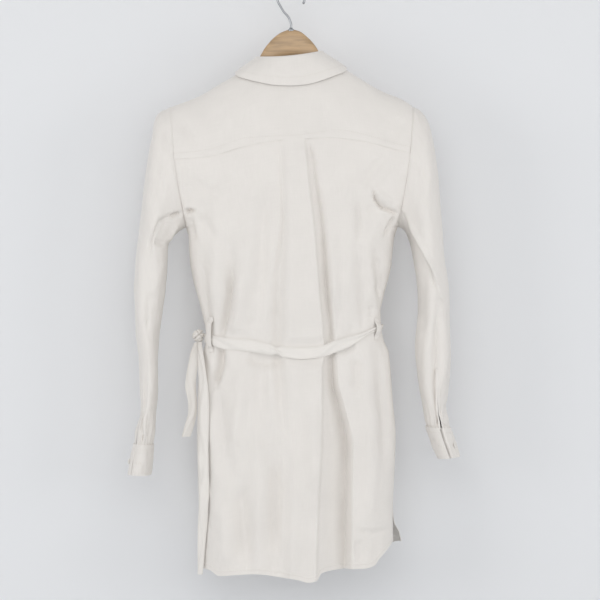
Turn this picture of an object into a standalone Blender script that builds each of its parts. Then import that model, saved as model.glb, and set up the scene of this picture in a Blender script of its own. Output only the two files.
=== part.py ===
"""Maternity shirt dress hanging on a wooden hanger, seen from the back.

Frame: metres, +Z up, origin at the inside top of the hanger's hook. The back of the dress
faces +Y and the wearer's left side is at +X. Tables are in millimetres, and "down" is the
distance below the origin.
"""

import math
from collections import namedtuple

import bmesh
import bpy
import numpy as np
from mathutils import Vector

MM = 0.001
WALL = 1.2
SEAM_GAP = 0.35
LAYER_GAP = 0.6

# Armhole: an upright loop at each side, from the shoulder point to the underarm point.
ARM_TOP = 211.0
ARM_BOTTOM = 418.0
ARM_MIDDLE = 0.5 * (ARM_TOP + ARM_BOTTOM)
ARM_DEPTH = 50.0
ARM_BOW = 5.0
ARM_TOP_X = {1: 204.0, -1: -208.0}
ARM_BOTTOM_X = {1: 179.0, -1: -182.0}

# Neck seam, fold line of the collar and outer edge of the collar.
NECK_HALF_WIDTH = 70.0
NECK_BACK_ANGLE = math.radians(36.5)
NECK_FRONT_ANGLE = math.radians(58.5)
FOLD_CENTRE_X = 3.0
FOLD_HALF_WIDTH = 56.5
FOLD_CENTRE_Y = -8.0
FOLD_HALF_DEPTH = 42.0
FOLD_TILT = 0.09
FOLD_SIDE_DOWN = 121.5
FOLD_BACK_DROP = 6.5
FOLD_FRONT_DROP = 54.0
FALL_HALF_WIDTH = 95.0
FALL_POINT_X = 50.0
FALL_BACK_ANGLE = math.radians(45.5)
FALL_FRONT_ANGLE = math.radians(68.0)
FALL_CLEAR = 4.6
FRONT_OPENING = math.radians(175.0)
NECK_STEPS = 15
YOKE_STEPS = 10
NECK_TURNS = np.linspace(-FRONT_OPENING, FRONT_OPENING, 2 * NECK_STEPS + 1)
YOKE_TURN = FRONT_OPENING * YOKE_STEPS / NECK_STEPS

# Yoke, button band, belt and cuffs.
YOKE_FORWARD = NECK_FRONT_ANGLE * math.cos(YOKE_TURN)
YOKE_NECK_X = 78.0
SHOULDER_STEPS = 7
RIDGE_SHARE = 0.742
UNDERARM_EASE = 1.6
SIDE_POWER = 3.0
BAND_HALF_WIDTH = 15.0
OVERLAP_LIFT = 1.8
UNDERLAP_DROP = 1.6
BAND_WALL = 1.0
BELT_WALL = 1.6
BELT_DOWN = 612.0
BELT_TIE_Y = 4.5
BELT_GAP = 1.2
KNOT_RADIUS = 11.0
KNOT_X = 159.0
KNOT_DOWN = 605.0
KNOT_FLATTEN = 0.95
KNOT_RELIEF = 0.06
LOOP_WIDTH = 5.0
LOOP_WALL = 1.0
CUFF_WALL = 1.8

BUTTON_RADIUS = 5.5
BUTTON_THICK = 2.4
BUTTON_FIRST = 262.0
BUTTON_STEP = 84.0
BUTTON_COUNT = 8

# Hanger and hook.
WIRE_RADIUS = 1.9
HOOK_RADIUS = 24.0
HANGER_TIP_GAP = 5.0
HANGER_SEAT = 1.0

Ridge = namedtuple("Ridge", "x down")
SHOULDER_LINE = (
    Ridge(-208, 210), Ridge(-193, 200), Ridge(-153, 183), Ridge(-114, 160), Ridge(-95, 148),
    Ridge(-71, 133), Ridge(-40, 124), Ridge(0, 120), Ridge(40, 127), Ridge(71, 140),
    Ridge(96, 157), Ridge(127, 175), Ridge(157, 193), Ridge(204, 211),
)

# Width and half depths of the dress by height; the front edges part from the back at the vents.
Section = namedtuple("Section", "down left right left_front right_front back front")
SECTIONS = (
    Section(120, 179, -182, 179, -182, 50, 46),
    Section(314, 179, -182, 179, -182, 53, 48),
    Section(418, 179, -182, 179, -182, 60, 52),
    Section(432, 176, -178, 176, -178, 61, 53),
    Section(458, 175, -175, 175, -175, 62, 54),
    Section(483, 172, -172, 172, -172, 62, 54),
    Section(509, 167, -166, 167, -166, 61, 53),
    Section(535, 160, -159, 160, -159, 59, 52),
    Section(561, 153, -154, 153, -154, 56, 50),
    Section(590, 147, -155, 147, -155, 51, 46),
    Section(614, 146, -160, 146, -160, 50, 45),
    Section(633, 151, -168, 151, -168, 51, 46),
    Section(673, 158, -172, 158, -172, 56, 50),
    Section(714, 160, -175, 160, -175, 60, 53),
    Section(776, 161, -180, 161, -180, 63, 56),
    Section(839, 160, -178, 160, -178, 65, 58),
    Section(901, 158, -175, 158, -180, 67, 60),
    Section(943, 157, -175, 158, -193, 68, 61),
    Section(1017, 153, -172, 157, -199, 69, 62),
)
VENT_TOP = 880.0
VENT_BOTTOM = 1000.0
VENT_OPENING = 5.0

Edge = namedtuple("Edge", "x down")
YOKE_SEAM = (
    Edge(-206, 291), Edge(-185, 287), Edge(-163, 281), Edge(-138, 274.5), Edge(-114, 269.5),
    Edge(-90, 266.5), Edge(-63, 265),
    Edge(-22, 267), Edge(16, 269), Edge(78, 280), Edge(145, 298), Edge(202, 302),
)
BACK_HEM = (
    Edge(-177, 953), Edge(-170, 962), Edge(-162, 972), Edge(-151, 984), Edge(-143, 995),
    Edge(-127, 1000), Edge(-98, 1001), Edge(-67, 1004), Edge(-52, 1008), Edge(-44, 1020),
    Edge(-29, 1023), Edge(-15, 1019), Edge(10, 1015), Edge(60, 1009), Edge(96, 1011),
    Edge(122, 1013), Edge(138, 1004), Edge(155, 1001),
)
FRONT_HEM = (
    Edge(-199, 957), Edge(-178, 962), Edge(-140, 985), Edge(-90, 1000), Edge(0, 1006),
    Edge(90, 1002), Edge(130, 996), Edge(160, 990),
)

# The centre back box pleat: its two folded edges and the line where its underlay ends.
Pleat = namedtuple("Pleat", "down left right underlay depth")
BOX_PLEAT = (
    Pleat(260, 16, -22, -27, 2.0),
    Pleat(300, 14, -27, -33, 5.0),
    Pleat(354, 8, -32, -39, 7.0),
    Pleat(402, 10, -38, -46, 8.0),
    Pleat(535, 17, -49, -59, 8.0),
    Pleat(609, 18, -55, -66, 5.0),
    Pleat(681, 14, -53, -72, 9.0),
    Pleat(716, 12, -53, -81, 10.0),
    Pleat(796, 6, -52, -98, 11.0),
    Pleat(888, 8, -47, -97, 11.0),
    Pleat(1025, 10, -43, -96, 11.0),
)
PLEAT_RISE = 3.0
PLEAT_EDGE = 5.0
PLEAT_DIP = 14.0
UNDERLAY_MIN = 15.0
BACK_ZONES = (9, 2, 2, 1, 1, 2, 1, 8)
SIDE_CROWDING = 1.5

# Soft folds of the back: troughs are negative, ridges positive.
Fold = namedtuple("Fold", "top_x top_down bottom_x bottom_down width height")
BACK_FOLDS = (
    Fold(101, 440, 106, 560, 9, -6.0),
    Fold(108, 560, 130, 690, 10, -5.5),
    Fold(72, 430, 84, 590, 12, 3.0),
    Fold(44, 350, 58, 590, 10, -4.0),
    Fold(-122, 344, -151, 303, 10, -4.0),
    Fold(-115, 380, -118, 450, 8, -4.0),
    Fold(-150, 450, -152, 560, 10, -5.0),
    Fold(-80, 520, -84, 600, 7, -4.5),
    Fold(128, 640, 96, 860, 13, -4.0),
    Fold(84, 800, 78, 1010, 13, -6.0),
    Fold(30, 760, 32, 1000, 13, -6.0),
    Fold(116, 860, 110, 1000, 14, 4.0),
    Fold(58, 700, 54, 1000, 12, 3.0),
    Fold(-26, 790, -28, 900, 11, 3.0),
    Fold(-135, 690, -140, 960, 16, 4.0),
)
FRONT_FOLDS = (
    Fold(120, 440, 112, 590, 12, -5.0),
    Fold(66, 430, 78, 590, 12, -4.0),
    Fold(-70, 440, -76, 590, 12, -4.5),
    Fold(-124, 430, -118, 590, 12, -5.0),
    Fold(112, 640, 120, 980, 15, -6.0),
    Fold(62, 640, 66, 990, 15, -5.0),
    Fold(-66, 640, -70, 990, 15, -6.0),
    Fold(-122, 640, -134, 970, 15, -6.0),
    Fold(90, 650, 92, 990, 14, 3.0),
    Fold(-96, 650, -102, 985, 14, 3.5),
)

# Sleeves: each ring runs from its outer point to its inner point, with a half depth along Y.
Ring = namedtuple("Ring", "outer_x outer_down inner_x inner_down depth")
LEFT_SLEEVE = (
    Ring(218, 217, 184, 420, 53),
    Ring(230, 225, 189, 423, 56),
    Ring(236, 241, 194, 427, 58),
    Ring(239, 263, 199, 431, 59),
    Ring(243, 289, 204, 436, 60),
    Ring(249, 323, 208, 442, 60),
    Ring(255, 372, 211, 452, 59),
    Ring(259, 409, 212, 470, 58),
    Ring(263, 440, 213, 495, 57),
    Ring(267, 480, 215, 521, 56),
    Ring(269, 520, 219, 547, 55),
    Ring(268, 561, 223, 575, 54),
    Ring(266, 600, 227, 606, 53),
    Ring(262, 640, 229, 640, 52),
    Ring(260, 678, 229, 678, 51),
    Ring(260, 712, 230, 712, 50),
    Ring(260, 736, 232, 741, 49),
    Ring(265, 760, 234, 765, 48),
    Ring(271, 792, 236, 794, 46),
)
RIGHT_SLEEVE = (
    Ring(-221, 217, -187, 420, 53),
    Ring(-231, 228, -191, 422, 56),
    Ring(-238, 244, -195, 427, 58),
    Ring(-243, 264, -199, 434, 59),
    Ring(-247, 290, -203, 444, 60),
    Ring(-251, 322, -206, 456, 60),
    Ring(-255, 356, -209, 470, 59),
    Ring(-258, 392, -212, 486, 58),
    Ring(-261, 428, -215, 506, 57),
    Ring(-264, 470, -217, 532, 56),
    Ring(-270, 509, -218, 560, 55),
    Ring(-272, 545, -216, 588, 54),
    Ring(-272, 578, -214, 616, 53),
    Ring(-274, 615, -215, 644, 52),
    Ring(-275, 650, -218, 670, 51),
    Ring(-272, 690, -221, 696, 50),
    Ring(-268, 722, -226, 722, 49),
    Ring(-270, 745, -230, 743, 48),
    Ring(-275, 765, -232, 763, 46),
)
LEFT_CUFF = (
    Ring(272, 794, 236, 796, 46),
    Ring(276, 818, 238, 820, 45),
    Ring(280, 843, 240, 844, 44),
)
RIGHT_CUFF = (
    Ring(-276, 767, -232, 765, 46),
    Ring(-283, 790, -241, 790, 45),
    Ring(-290, 812, -251, 816, 44),
)
SLIT_ROWS = 4
SLIT_ANGLE = {1: math.radians(48.0), -1: math.radians(80.0)}
SLIT_OPENING = {1: math.radians(24.0), -1: math.radians(56.0)}
SLEEVE_COLUMNS = 18

# Soft folds of a sleeve: place along its rings, angle round it and height.
SleeveFold = namedtuple("SleeveFold", "ring angle ring_spread angle_spread height")
SLEEVE_FOLDS = (
    SleeveFold(6.0, 95, 5.0, 20, -5.0),
    SleeveFold(10.5, 70, 3.0, 18, 3.0),
    SleeveFold(13.0, 110, 3.5, 18, -4.5),
    SleeveFold(9.0, 250, 4.0, 20, -5.0),
    SleeveFold(14.0, 290, 3.0, 20, -4.0),
    SleeveFold(16.6, 60, 1.0, 40, -2.5),
    SleeveFold(16.4, 240, 1.0, 40, -2.5),
)

Belt = namedtuple("Belt", "x top bottom")
BELT_BACK = (
    Belt(-158, 584, 592), Belt(-139, 591, 599), Belt(-119, 600, 611), Belt(-98, 606, 624),
    Belt(-72, 614, 634), Belt(-50, 622, 641), Belt(-17, 625, 644), Belt(24, 621, 639),
    Belt(72, 611, 631), Belt(108, 608, 628), Belt(146, 602, 616),
)
BELT_FRONT = (
    Belt(-158, 584, 592), Belt(-120, 597, 611), Belt(-60, 612, 632), Belt(0, 617, 637),
    Belt(60, 614, 634), Belt(110, 608, 627), Belt(146, 602, 616),
)

Tail = namedtuple("Tail", "x y down width turn")
SHORT_TAIL = (
    Tail(161, 2, 616.5, 10, 0), Tail(165, 7, 634, 15, 4), Tail(167, 12, 650, 17, 10),
    Tail(171, 13, 673, 18, 4), Tail(172, 14, 695, 18, -6), Tail(169, 14, 716, 16, -14),
    Tail(169, 14, 738, 15, -8), Tail(174, 13, 758, 16, 0), Tail(180, 12, 778, 15, 6),
)
LONG_TAIL = (
    Tail(157, 8, 615.4, 9, 40), Tail(154, 27, 640, 15, 46), Tail(152, 36, 664, 18, 42),
    Tail(149, 39, 692, 18, 40), Tail(149, 42, 724, 18, 38), Tail(150, 43, 760, 18, 36),
    Tail(151, 43, 796, 17, 32), Tail(151, 43, 820, 16, 20), Tail(150, 44, 844, 16, 34),
    Tail(150, 44, 868, 15, 16), Tail(151, 44, 892, 16, 34), Tail(153, 43, 920, 15, 22),
    Tail(155, 42, 948, 13, 34), Tail(156, 41, 980, 11, 40), Tail(157, 40, 1012, 9, 44),
)

# Upper line of the hanger inside the collar, then its section from the middle to the tips.
DOME = (
    Edge(-70, 140), Edge(-64, 135.5), Edge(-58, 130), Edge(-51, 121), Edge(-41, 105),
    Edge(-29, 92), Edge(-14, 81), Edge(0, 78), Edge(14, 82), Edge(28, 91), Edge(45, 110),
    Edge(52, 122), Edge(57, 131.5), Edge(63, 139), Edge(70, 145),
)
Arm = namedtuple("Arm", "away height half_depth forward")
HANGER_SECTION = (
    Arm(0, 46, 6.5, 0), Arm(30, 42, 6.5, 0), Arm(60, 32, 6.5, 0), Arm(100, 26, 7.5, 0),
    Arm(150, 21, 8.5, -0.5), Arm(204, 16, 9.5, -1),
)

CLOTH = ("cotton_off_white", (0.72, 0.69, 0.65, 1.0), 0.88, 0.0)
BUTTON_FINISH = ("button_shell", (0.80, 0.77, 0.72, 1.0), 0.35, 0.0)
WOOD = ("beech_wood", (0.50, 0.32, 0.20, 1.0), 0.45, 0.0)
STEEL = ("hook_steel", (0.55, 0.57, 0.60, 1.0), 0.3, 1.0)


def remove_everything():
    """Clear the scene."""
    for thing in list(bpy.data.objects):
        bpy.data.objects.remove(thing, do_unlink=True)


def finish_material(finish):
    """Return the Principled material of one finish, made once."""
    name, colour, roughness, metallic = finish
    found = bpy.data.materials.get(name)
    if found:
        return found
    made = bpy.data.materials.new(name)
    made.use_nodes = True
    shader = made.node_tree.nodes["Principled BSDF"]
    shader.inputs["Base Color"].default_value = colour
    shader.inputs["Roughness"].default_value = roughness
    shader.inputs["Metallic"].default_value = metallic
    return made


def add_object(name, bm, finish):
    """Make an object from a bmesh, with its faces out and its material."""
    bmesh.ops.recalc_face_normals(bm, faces=bm.faces)
    mesh = bpy.data.meshes.new(name)
    bm.to_mesh(mesh)
    bm.free()
    mesh.materials.append(finish_material(finish))
    mesh.shade_smooth()
    mesh.set_sharp_from_angle(angle=math.radians(50))
    made = bpy.data.objects.new(name, mesh)
    bpy.context.scene.collection.objects.link(made)
    return made


def through(rows, key, value, at):
    """Read a table as a smooth curve that doesn't overshoot its rows."""
    xs = np.array([getattr(row, key) for row in rows], float)
    ys = np.array([getattr(row, value) for row in rows], float)
    at = np.clip(at, xs[0], xs[-1])
    step = np.diff(xs)
    slope = np.diff(ys) / step
    product = slope[:-1] * slope[1:]
    total = np.where(product > 0, slope[:-1] + slope[1:], 1.0)
    tangent = np.concatenate([slope[:1], np.where(product > 0, 2 * product / total, 0.0), slope[-1:]])
    k = np.clip(np.searchsorted(xs, at, side="right") - 1, 0, len(step) - 1)
    s = (at - xs[k]) / step[k]
    ends = (1 + 2 * s) * (1 - s) ** 2 * ys[k] + s * s * (3 - 2 * s) * ys[k + 1]
    return ends + step[k] * (s * (1 - s) ** 2 * tangent[k] + s * s * (s - 1) * tangent[k + 1])


def rise(value):
    """Smooth step from 0 to 1."""
    value = np.clip(value, 0.0, 1.0)
    return value * value * (3 - 2 * value)


def unit(vectors):
    """Scale vectors to length one."""
    return vectors / np.maximum(np.linalg.norm(vectors, axis=-1, keepdims=True), 1e-9)


def shoulder(x):
    """Height of the shoulder's ridge at a place across."""
    return through(SHOULDER_LINE, "x", "down", x)


def armhole_x(side, down):
    """Sideways place of the armhole seam at a height."""
    share = np.clip((down - ARM_TOP) / (ARM_BOTTOM - ARM_TOP), 0.0, 1.0)
    straight = ARM_TOP_X[side] + (ARM_BOTTOM_X[side] - ARM_TOP_X[side]) * share
    return straight + side * 4 * ARM_BOW * share * (1 - share)


def side_x(side, down, face):
    """Sideways place of the panel's edge: the armhole above, the side seam below."""
    column = {1: "left", -1: "right"}[side] + ("" if face > 0 else "_front")
    below = through(SECTIONS, "down", column, down)
    return np.where(down < ARM_BOTTOM, armhole_x(side, down), below)


def side_depth(down):
    """Half depth of the panel's edge before the shoulder rounds it off."""
    share = np.clip((down - ARM_MIDDLE) / (ARM_BOTTOM - ARM_MIDDLE), 0.0, 1.0)
    vent = rise((down - VENT_TOP) / (VENT_BOTTOM - VENT_TOP)) * VENT_OPENING
    return np.where(down < ARM_BOTTOM, ARM_DEPTH * np.sqrt(1 - share**2), vent)


def section_depth(x, down, face):
    """Half depth of the dress at a place, before the shoulder rounds it off."""
    left = side_x(1, down, face)
    right = side_x(-1, down, face)
    across = np.clip(np.abs((2 * x - left - right) / (left - right)), 0.0, 1.0)
    edge = side_depth(down)
    middle = through(SECTIONS, "down", "back" if face > 0 else "front", down)
    power = 1 + (SIDE_POWER - 1) * (1 - np.clip(edge / ARM_DEPTH, 0, 1))
    return edge + (middle - edge) * (1 - across**SIDE_POWER) ** (1 / power)


def body(x, down, face):
    """Point of the plain body surface at a place of the back (face 1) or front (face -1)."""
    top = shoulder(x)
    share = np.clip((ARM_MIDDLE - down) / (ARM_MIDDLE - top), 0.0, 1.0)
    depth = section_depth(x, down, face) * np.sqrt(1 - share**2)
    return np.stack(np.broadcast_arrays(x, face * depth, -down), axis=-1)


def over_shoulder(x, angle):
    """Point at an angle round the shoulder: 0 on its ridge, positive to the back."""
    top = shoulder(x)
    down = ARM_MIDDLE - (ARM_MIDDLE - top) * np.cos(angle)
    face_depth = np.where(angle > 0, section_depth(x, down, 1), section_depth(x, down, -1))
    return np.stack(np.broadcast_arrays(x, face_depth * np.sin(angle), -down), axis=-1)


def shoulder_angle(x, down, face):
    """Angle round the shoulder at which the surface reaches a height."""
    top = shoulder(x)
    return face * np.arccos(np.clip((ARM_MIDDLE - down) / (ARM_MIDDLE - top), -1, 1))


def shoulder_normal(x, angle):
    """Outward direction of the plain surface over the shoulder."""
    step = 0.02
    along = over_shoulder(x, angle + step) - over_shoulder(x, angle - step)
    across = over_shoulder(x + 0.5, angle) - over_shoulder(x - 0.5, angle)
    return unit(np.cross(across, along))


def armhole_normal(side, down, depth):
    """Direction across the wall at the armhole, shared by the body and the sleeve."""
    height = ARM_MIDDLE - down
    share = np.clip(-height / (ARM_MIDDLE - ARM_TOP), 0, 1)
    y = depth / ARM_DEPTH**2
    z = height / (ARM_MIDDLE - ARM_TOP) ** 2
    scale = np.sqrt(y**2 + z**2)
    return unit(np.stack([side * share**4, y / scale, z / scale], axis=-1))


def grid_normals(points, closed=False):
    """Unit normals of a grid of points, from its rows and columns."""
    down = np.gradient(points, axis=0)
    if closed:
        ring = points[:, :-1]
        across = np.roll(ring, -1, axis=1) - np.roll(ring, 1, axis=1)
        across = np.concatenate([across, across[:, :1]], axis=1)
    else:
        across = np.gradient(points, axis=1)
    return unit(np.cross(across, down))


def facing(normals, outward):
    """Turn normals so that they point to the outward side."""
    turn = np.sign(np.sum(normals * outward, axis=-1, keepdims=True))
    return normals * np.where(turn == 0, 1.0, turn)


def cloth_wall(name, shown, hidden, finish=CLOTH):
    """Close two matching grids of points, the shown face and the hidden one, into a wall."""
    rows, columns = shown.shape[:2]
    bm = bmesh.new()
    bmesh.ops.create_grid(bm, x_segments=columns - 1, y_segments=rows - 1, size=1)
    tag = bm.verts.layers.int.new("place")
    for vert in bm.verts:
        row = round((vert.co.y + 1) / 2 * (rows - 1))
        column = round((vert.co.x + 1) / 2 * (columns - 1))
        vert[tag] = row * columns + column
        vert.co = shown[row, column] * MM
    bmesh.ops.remove_doubles(bm, verts=bm.verts, dist=1e-6)
    made = bmesh.ops.extrude_face_region(bm, geom=bm.faces[:], use_keep_orig=True)
    for item in made["geom"]:
        if isinstance(item, bmesh.types.BMVert):
            row, column = divmod(item[tag], columns)
            item.co = hidden[row, column] * MM
    return add_object(name, bm, finish)


def levels(*zones):
    """Row shares through whole-number zones: each zone is (row count, closing power).

    A power over 1 crowds the rows at the zone's end, and one under 1 at its start.
    """
    shares = [[0.0]]
    for zone, (count, power) in enumerate(zones):
        part = np.arange(1, count + 1) / count
        shares.append(zone + (1 - (1 - part) ** power if power > 1 else part ** (1 / power)))
    return np.concatenate(shares)


BACK_ROWS = levels((9, 1.4), (10, 1.4), (16, 0.8))
FRONT_ROWS = levels((7, 1.5), (8, 1.4), (10, 0.75))
BACK_BELT_ROW = 19
FRONT_BELT_ROW = 15


def zone_down(share, tops):
    """Height of each row: share runs 0..n through the n zones between the given tops."""
    zone = np.clip(np.floor(share).astype(int), 0, len(tops) - 2)
    tops = np.stack(np.broadcast_arrays(*tops))
    columns = np.arange(tops.shape[1])
    part = (share - zone)[:, None]
    return tops[zone][:, columns] * (1 - part) + tops[zone + 1][:, columns] * part


def fold_height(folds, x, down):
    """Sum of the soft folds at a place."""
    total = np.zeros(np.shape(x))
    for fold in folds:
        share = (down - fold.top_down) / (fold.bottom_down - fold.top_down)
        line = fold.top_x + (fold.bottom_x - fold.top_x) * np.clip(share, 0, 1)
        past = np.abs(np.clip(share, 0, 1) - share) * abs(fold.bottom_down - fold.top_down)
        inside = rise(np.minimum(share, 1 - share) * 5 + 0.35) * np.exp(-((past / 25) ** 2))
        total = total + fold.height * inside * np.exp(-(((x - line) / fold.width) ** 2))
    return total


def pleat_height(x, down):
    """Relief of the centre back box pleat: a raised box with its underlay beside it."""
    left = through(BOX_PLEAT, "down", "left", down)
    right = through(BOX_PLEAT, "down", "right", down)
    end = through(BOX_PLEAT, "down", "underlay", down)
    depth = through(BOX_PLEAT, "down", "depth", down)
    box = rise((left + 3 - x) / 8) * rise((x - right + PLEAT_EDGE) / PLEAT_EDGE)
    gully = rise((right - x) / PLEAT_EDGE) * rise((x - end + 9) / 9)
    dip = np.exp(-(((x - left - 7) / 7) ** 2))
    return PLEAT_RISE * box - depth * gully - 0.35 * depth * dip


def belt_middle(table, x):
    """Height of the belt's middle line at a place."""
    return 0.5 * (through(table, "x", "top", x) + through(table, "x", "bottom", x))


def belt_calm(x, down, table, relief):
    """Folds lie flat under the belt, and ridges stay further from it than troughs."""
    away = np.abs(down - belt_middle(table, x))
    return relief * np.where(relief > 0, rise((away - 22) / 26), rise((away - 12) / 24))


def edge_calm(x, left, right):
    """Folds end at the side edges."""
    return rise((left - x) / 14) * rise((x - right) / 14)


def panel(name, x, down, face, relief, armhole_sides, lift=0.0):
    """Build a front or back panel from its grid of places."""
    plain = body(x, down, face)
    outward = facing(grid_normals(plain), np.array([0.0, face, 0.35]))
    for side, column in armhole_sides:
        depth = plain[:, column, 1]
        above = down[:, column] <= ARM_BOTTOM
        arm = armhole_normal(side, down[:, column], depth)
        seam = np.broadcast_to(np.array([float(side), 0.0, 0.0]), arm.shape)
        outward[:, column] = np.where(above[:, None], arm, seam)
        plain[:, column, 1] = face * np.maximum(np.abs(depth), 0.8 * SEAM_GAP)
    top = shoulder_normal(x[0], shoulder_angle(x[0], down[0], face))
    inner = [k for k in range(x.shape[1]) if k not in [column for _, column in armhole_sides]]
    outward[0, inner] = top[inner]
    raised = plain + outward * np.asarray(relief + lift)[..., None]
    turned = facing(grid_normals(raised), outward)
    turned[0] = outward[0]
    for _, column in armhole_sides:
        turned[:, column] = outward[:, column]
    return cloth_wall(name, raised, raised - WALL * turned)


def back_places():
    """Columns of the back panel through its zones, closer together towards the pleat."""
    steps = [zone + np.arange(1, count + 1) / count for zone, count in enumerate(BACK_ZONES)]
    place = np.concatenate([[0.0]] + steps)
    last = len(BACK_ZONES)
    left_part = place < 1
    right_part = place > last - 1
    place[left_part] = place[left_part] ** SIDE_CROWDING
    place[right_part] = last - (last - place[right_part]) ** SIDE_CROWDING
    return place


def pleat_guides(down, left, right):
    """Lines down the back that its columns follow: the sides and the folds of the pleat."""
    fold_left = through(BOX_PLEAT, "down", "left", down)
    fold_right = through(BOX_PLEAT, "down", "right", down)
    end = np.minimum(through(BOX_PLEAT, "down", "underlay", down), fold_right - UNDERLAY_MIN)
    near = (left, fold_left + PLEAT_DIP, fold_left + 2, fold_right + PLEAT_EDGE + 2, fold_right + 1)
    far = (fold_right - PLEAT_EDGE, end + 6, end - 3, right)
    return np.stack(near + far)


def build_back():
    """Back panel: yoke seam to shirt-tail hem, with the box pleat in its middle."""
    share = BACK_ROWS
    place = back_places()
    columns = np.arange(len(place))
    rows = np.arange(len(share))[:, None]
    zone = np.clip(np.floor(place).astype(int), 0, len(BACK_ZONES) - 1)
    part = place - zone
    x = np.broadcast_to(np.linspace(175, -175, len(place)), (len(share), len(place))).copy()
    for _ in range(4):
        seam = through(YOKE_SEAM, "x", "down", x[0]) + SEAM_GAP / 2
        belt = belt_middle(BELT_BACK, x[BACK_BELT_ROW])
        hem = through(BACK_HEM, "x", "down", x[-1])
        down = zone_down(share, (seam, np.full(len(place), ARM_BOTTOM), belt, hem))
        left = side_x(1, down, 1)
        right = side_x(-1, down, 1)
        guides = pleat_guides(down, left, right)
        before = guides[zone[None, :], rows, columns]
        after = guides[zone[None, :] + 1, rows, columns]
        x = before * (1 - part) + after * part
    calm = edge_calm(x, left, right) * rise((down - through(YOKE_SEAM, "x", "down", x)) / 30)
    relief = (pleat_height(x, down) + fold_height(BACK_FOLDS, x, down)) * calm
    panel("back", x, down, 1, belt_calm(x, down, BELT_BACK, relief), ((1, 0), (-1, -1)))


def front_top(x):
    """Upper edge of the fronts: the neck seam near the middle, then the shoulder seam."""
    reach = np.clip(np.abs(x) / NECK_HALF_WIDTH, 0, 1)
    turn = YOKE_TURN + np.arccos(reach) * (math.pi - YOKE_TURN) / (math.pi / 2)
    angle = NECK_FRONT_ANGLE * np.cos(turn)
    top = shoulder(x)
    return ARM_MIDDLE - (ARM_MIDDLE - top) * np.cos(angle)


def front_columns(side):
    """Sideways places along a front's upper edge, from its centre edge to the armhole."""
    neck = np.abs(neck_seam(NECK_TURNS[NECK_STEPS + YOKE_STEPS:])[0])[::-1]
    arm = np.linspace(NECK_HALF_WIDTH, abs(ARM_TOP_X[side]), SHOULDER_STEPS + 1)
    return side * np.concatenate([[-BAND_HALF_WIDTH], neck, arm[1:]])


def build_front(side):
    """One front: from its centre edge to the armhole and side seam."""
    name = {1: "front_left", -1: "front_right"}[side]
    start = -side * BAND_HALF_WIDTH
    columns = front_columns(side)
    across = (columns - start) / (columns[-1] - start)
    x = np.broadcast_to(columns, (len(FRONT_ROWS), len(columns))).copy()
    for _ in range(8):
        top = front_top(columns) + SEAM_GAP + UNDERLAP_DROP * rise(-side * columns / 10)
        belt = belt_middle(BELT_FRONT, x[FRONT_BELT_ROW])
        hem = through(FRONT_HEM, "x", "down", x[-1])
        down = zone_down(FRONT_ROWS, (top, np.full(len(across), ARM_BOTTOM), belt, hem))
        edge = side_x(side, down, -1)
        x = start + (edge - start) * across
        x[0] = columns
    calm = rise(np.abs(edge - x) / 14) * rise((down - top) / 30) * rise((np.abs(x) - 20) / 20)
    relief = belt_calm(x, down, BELT_FRONT, fold_height(FRONT_FOLDS, x, down) * calm)
    lift = overlap_lift(x) if side < 0 else 0.0
    panel(name, x, down, -1, relief, ((side, -1),), lift)


def overlap_lift(x):
    """The right front lies over the left one at the button band."""
    return OVERLAP_LIFT * rise((x + 60) / (60 - BAND_HALF_WIDTH))


def build_button_band():
    """Band down the right front's edge, lying on it, that carries the buttons."""
    places = np.linspace(-BAND_HALF_WIDTH, BAND_HALF_WIDTH - 0.6, 3)
    x = np.broadcast_to(places, (len(FRONT_ROWS), 3))
    top = front_top(x[0]) + 2.0
    hem = through(FRONT_HEM, "x", "down", x[0]) - 0.5
    down = zone_down(FRONT_ROWS, (top, np.full(3, ARM_BOTTOM), belt_middle(BELT_FRONT, x[0]), hem))
    plain = body(x, down, -1)
    outward = facing(grid_normals(plain), np.array([0.0, -1.0, 0.35]))
    inner = OVERLAP_LIFT + LAYER_GAP
    cloth_wall("button_band", plain + outward * (inner + BAND_WALL), plain + outward * inner)


def neck_seam(turn):
    """Neck seam by its turn round the neck: 0 at the centre back, 180 at the centre front."""
    angle = np.where(np.cos(turn) > 0, NECK_BACK_ANGLE, NECK_FRONT_ANGLE) * np.cos(turn)
    quarter = math.pi / 2
    behind = np.sin(np.abs(turn) / YOKE_TURN * quarter)
    ahead = np.cos((np.abs(turn) - YOKE_TURN) / (math.pi - YOKE_TURN) * quarter)
    reach = np.where(np.abs(turn) <= YOKE_TURN, behind, ahead)
    return np.sign(turn) * NECK_HALF_WIDTH * reach, angle


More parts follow.
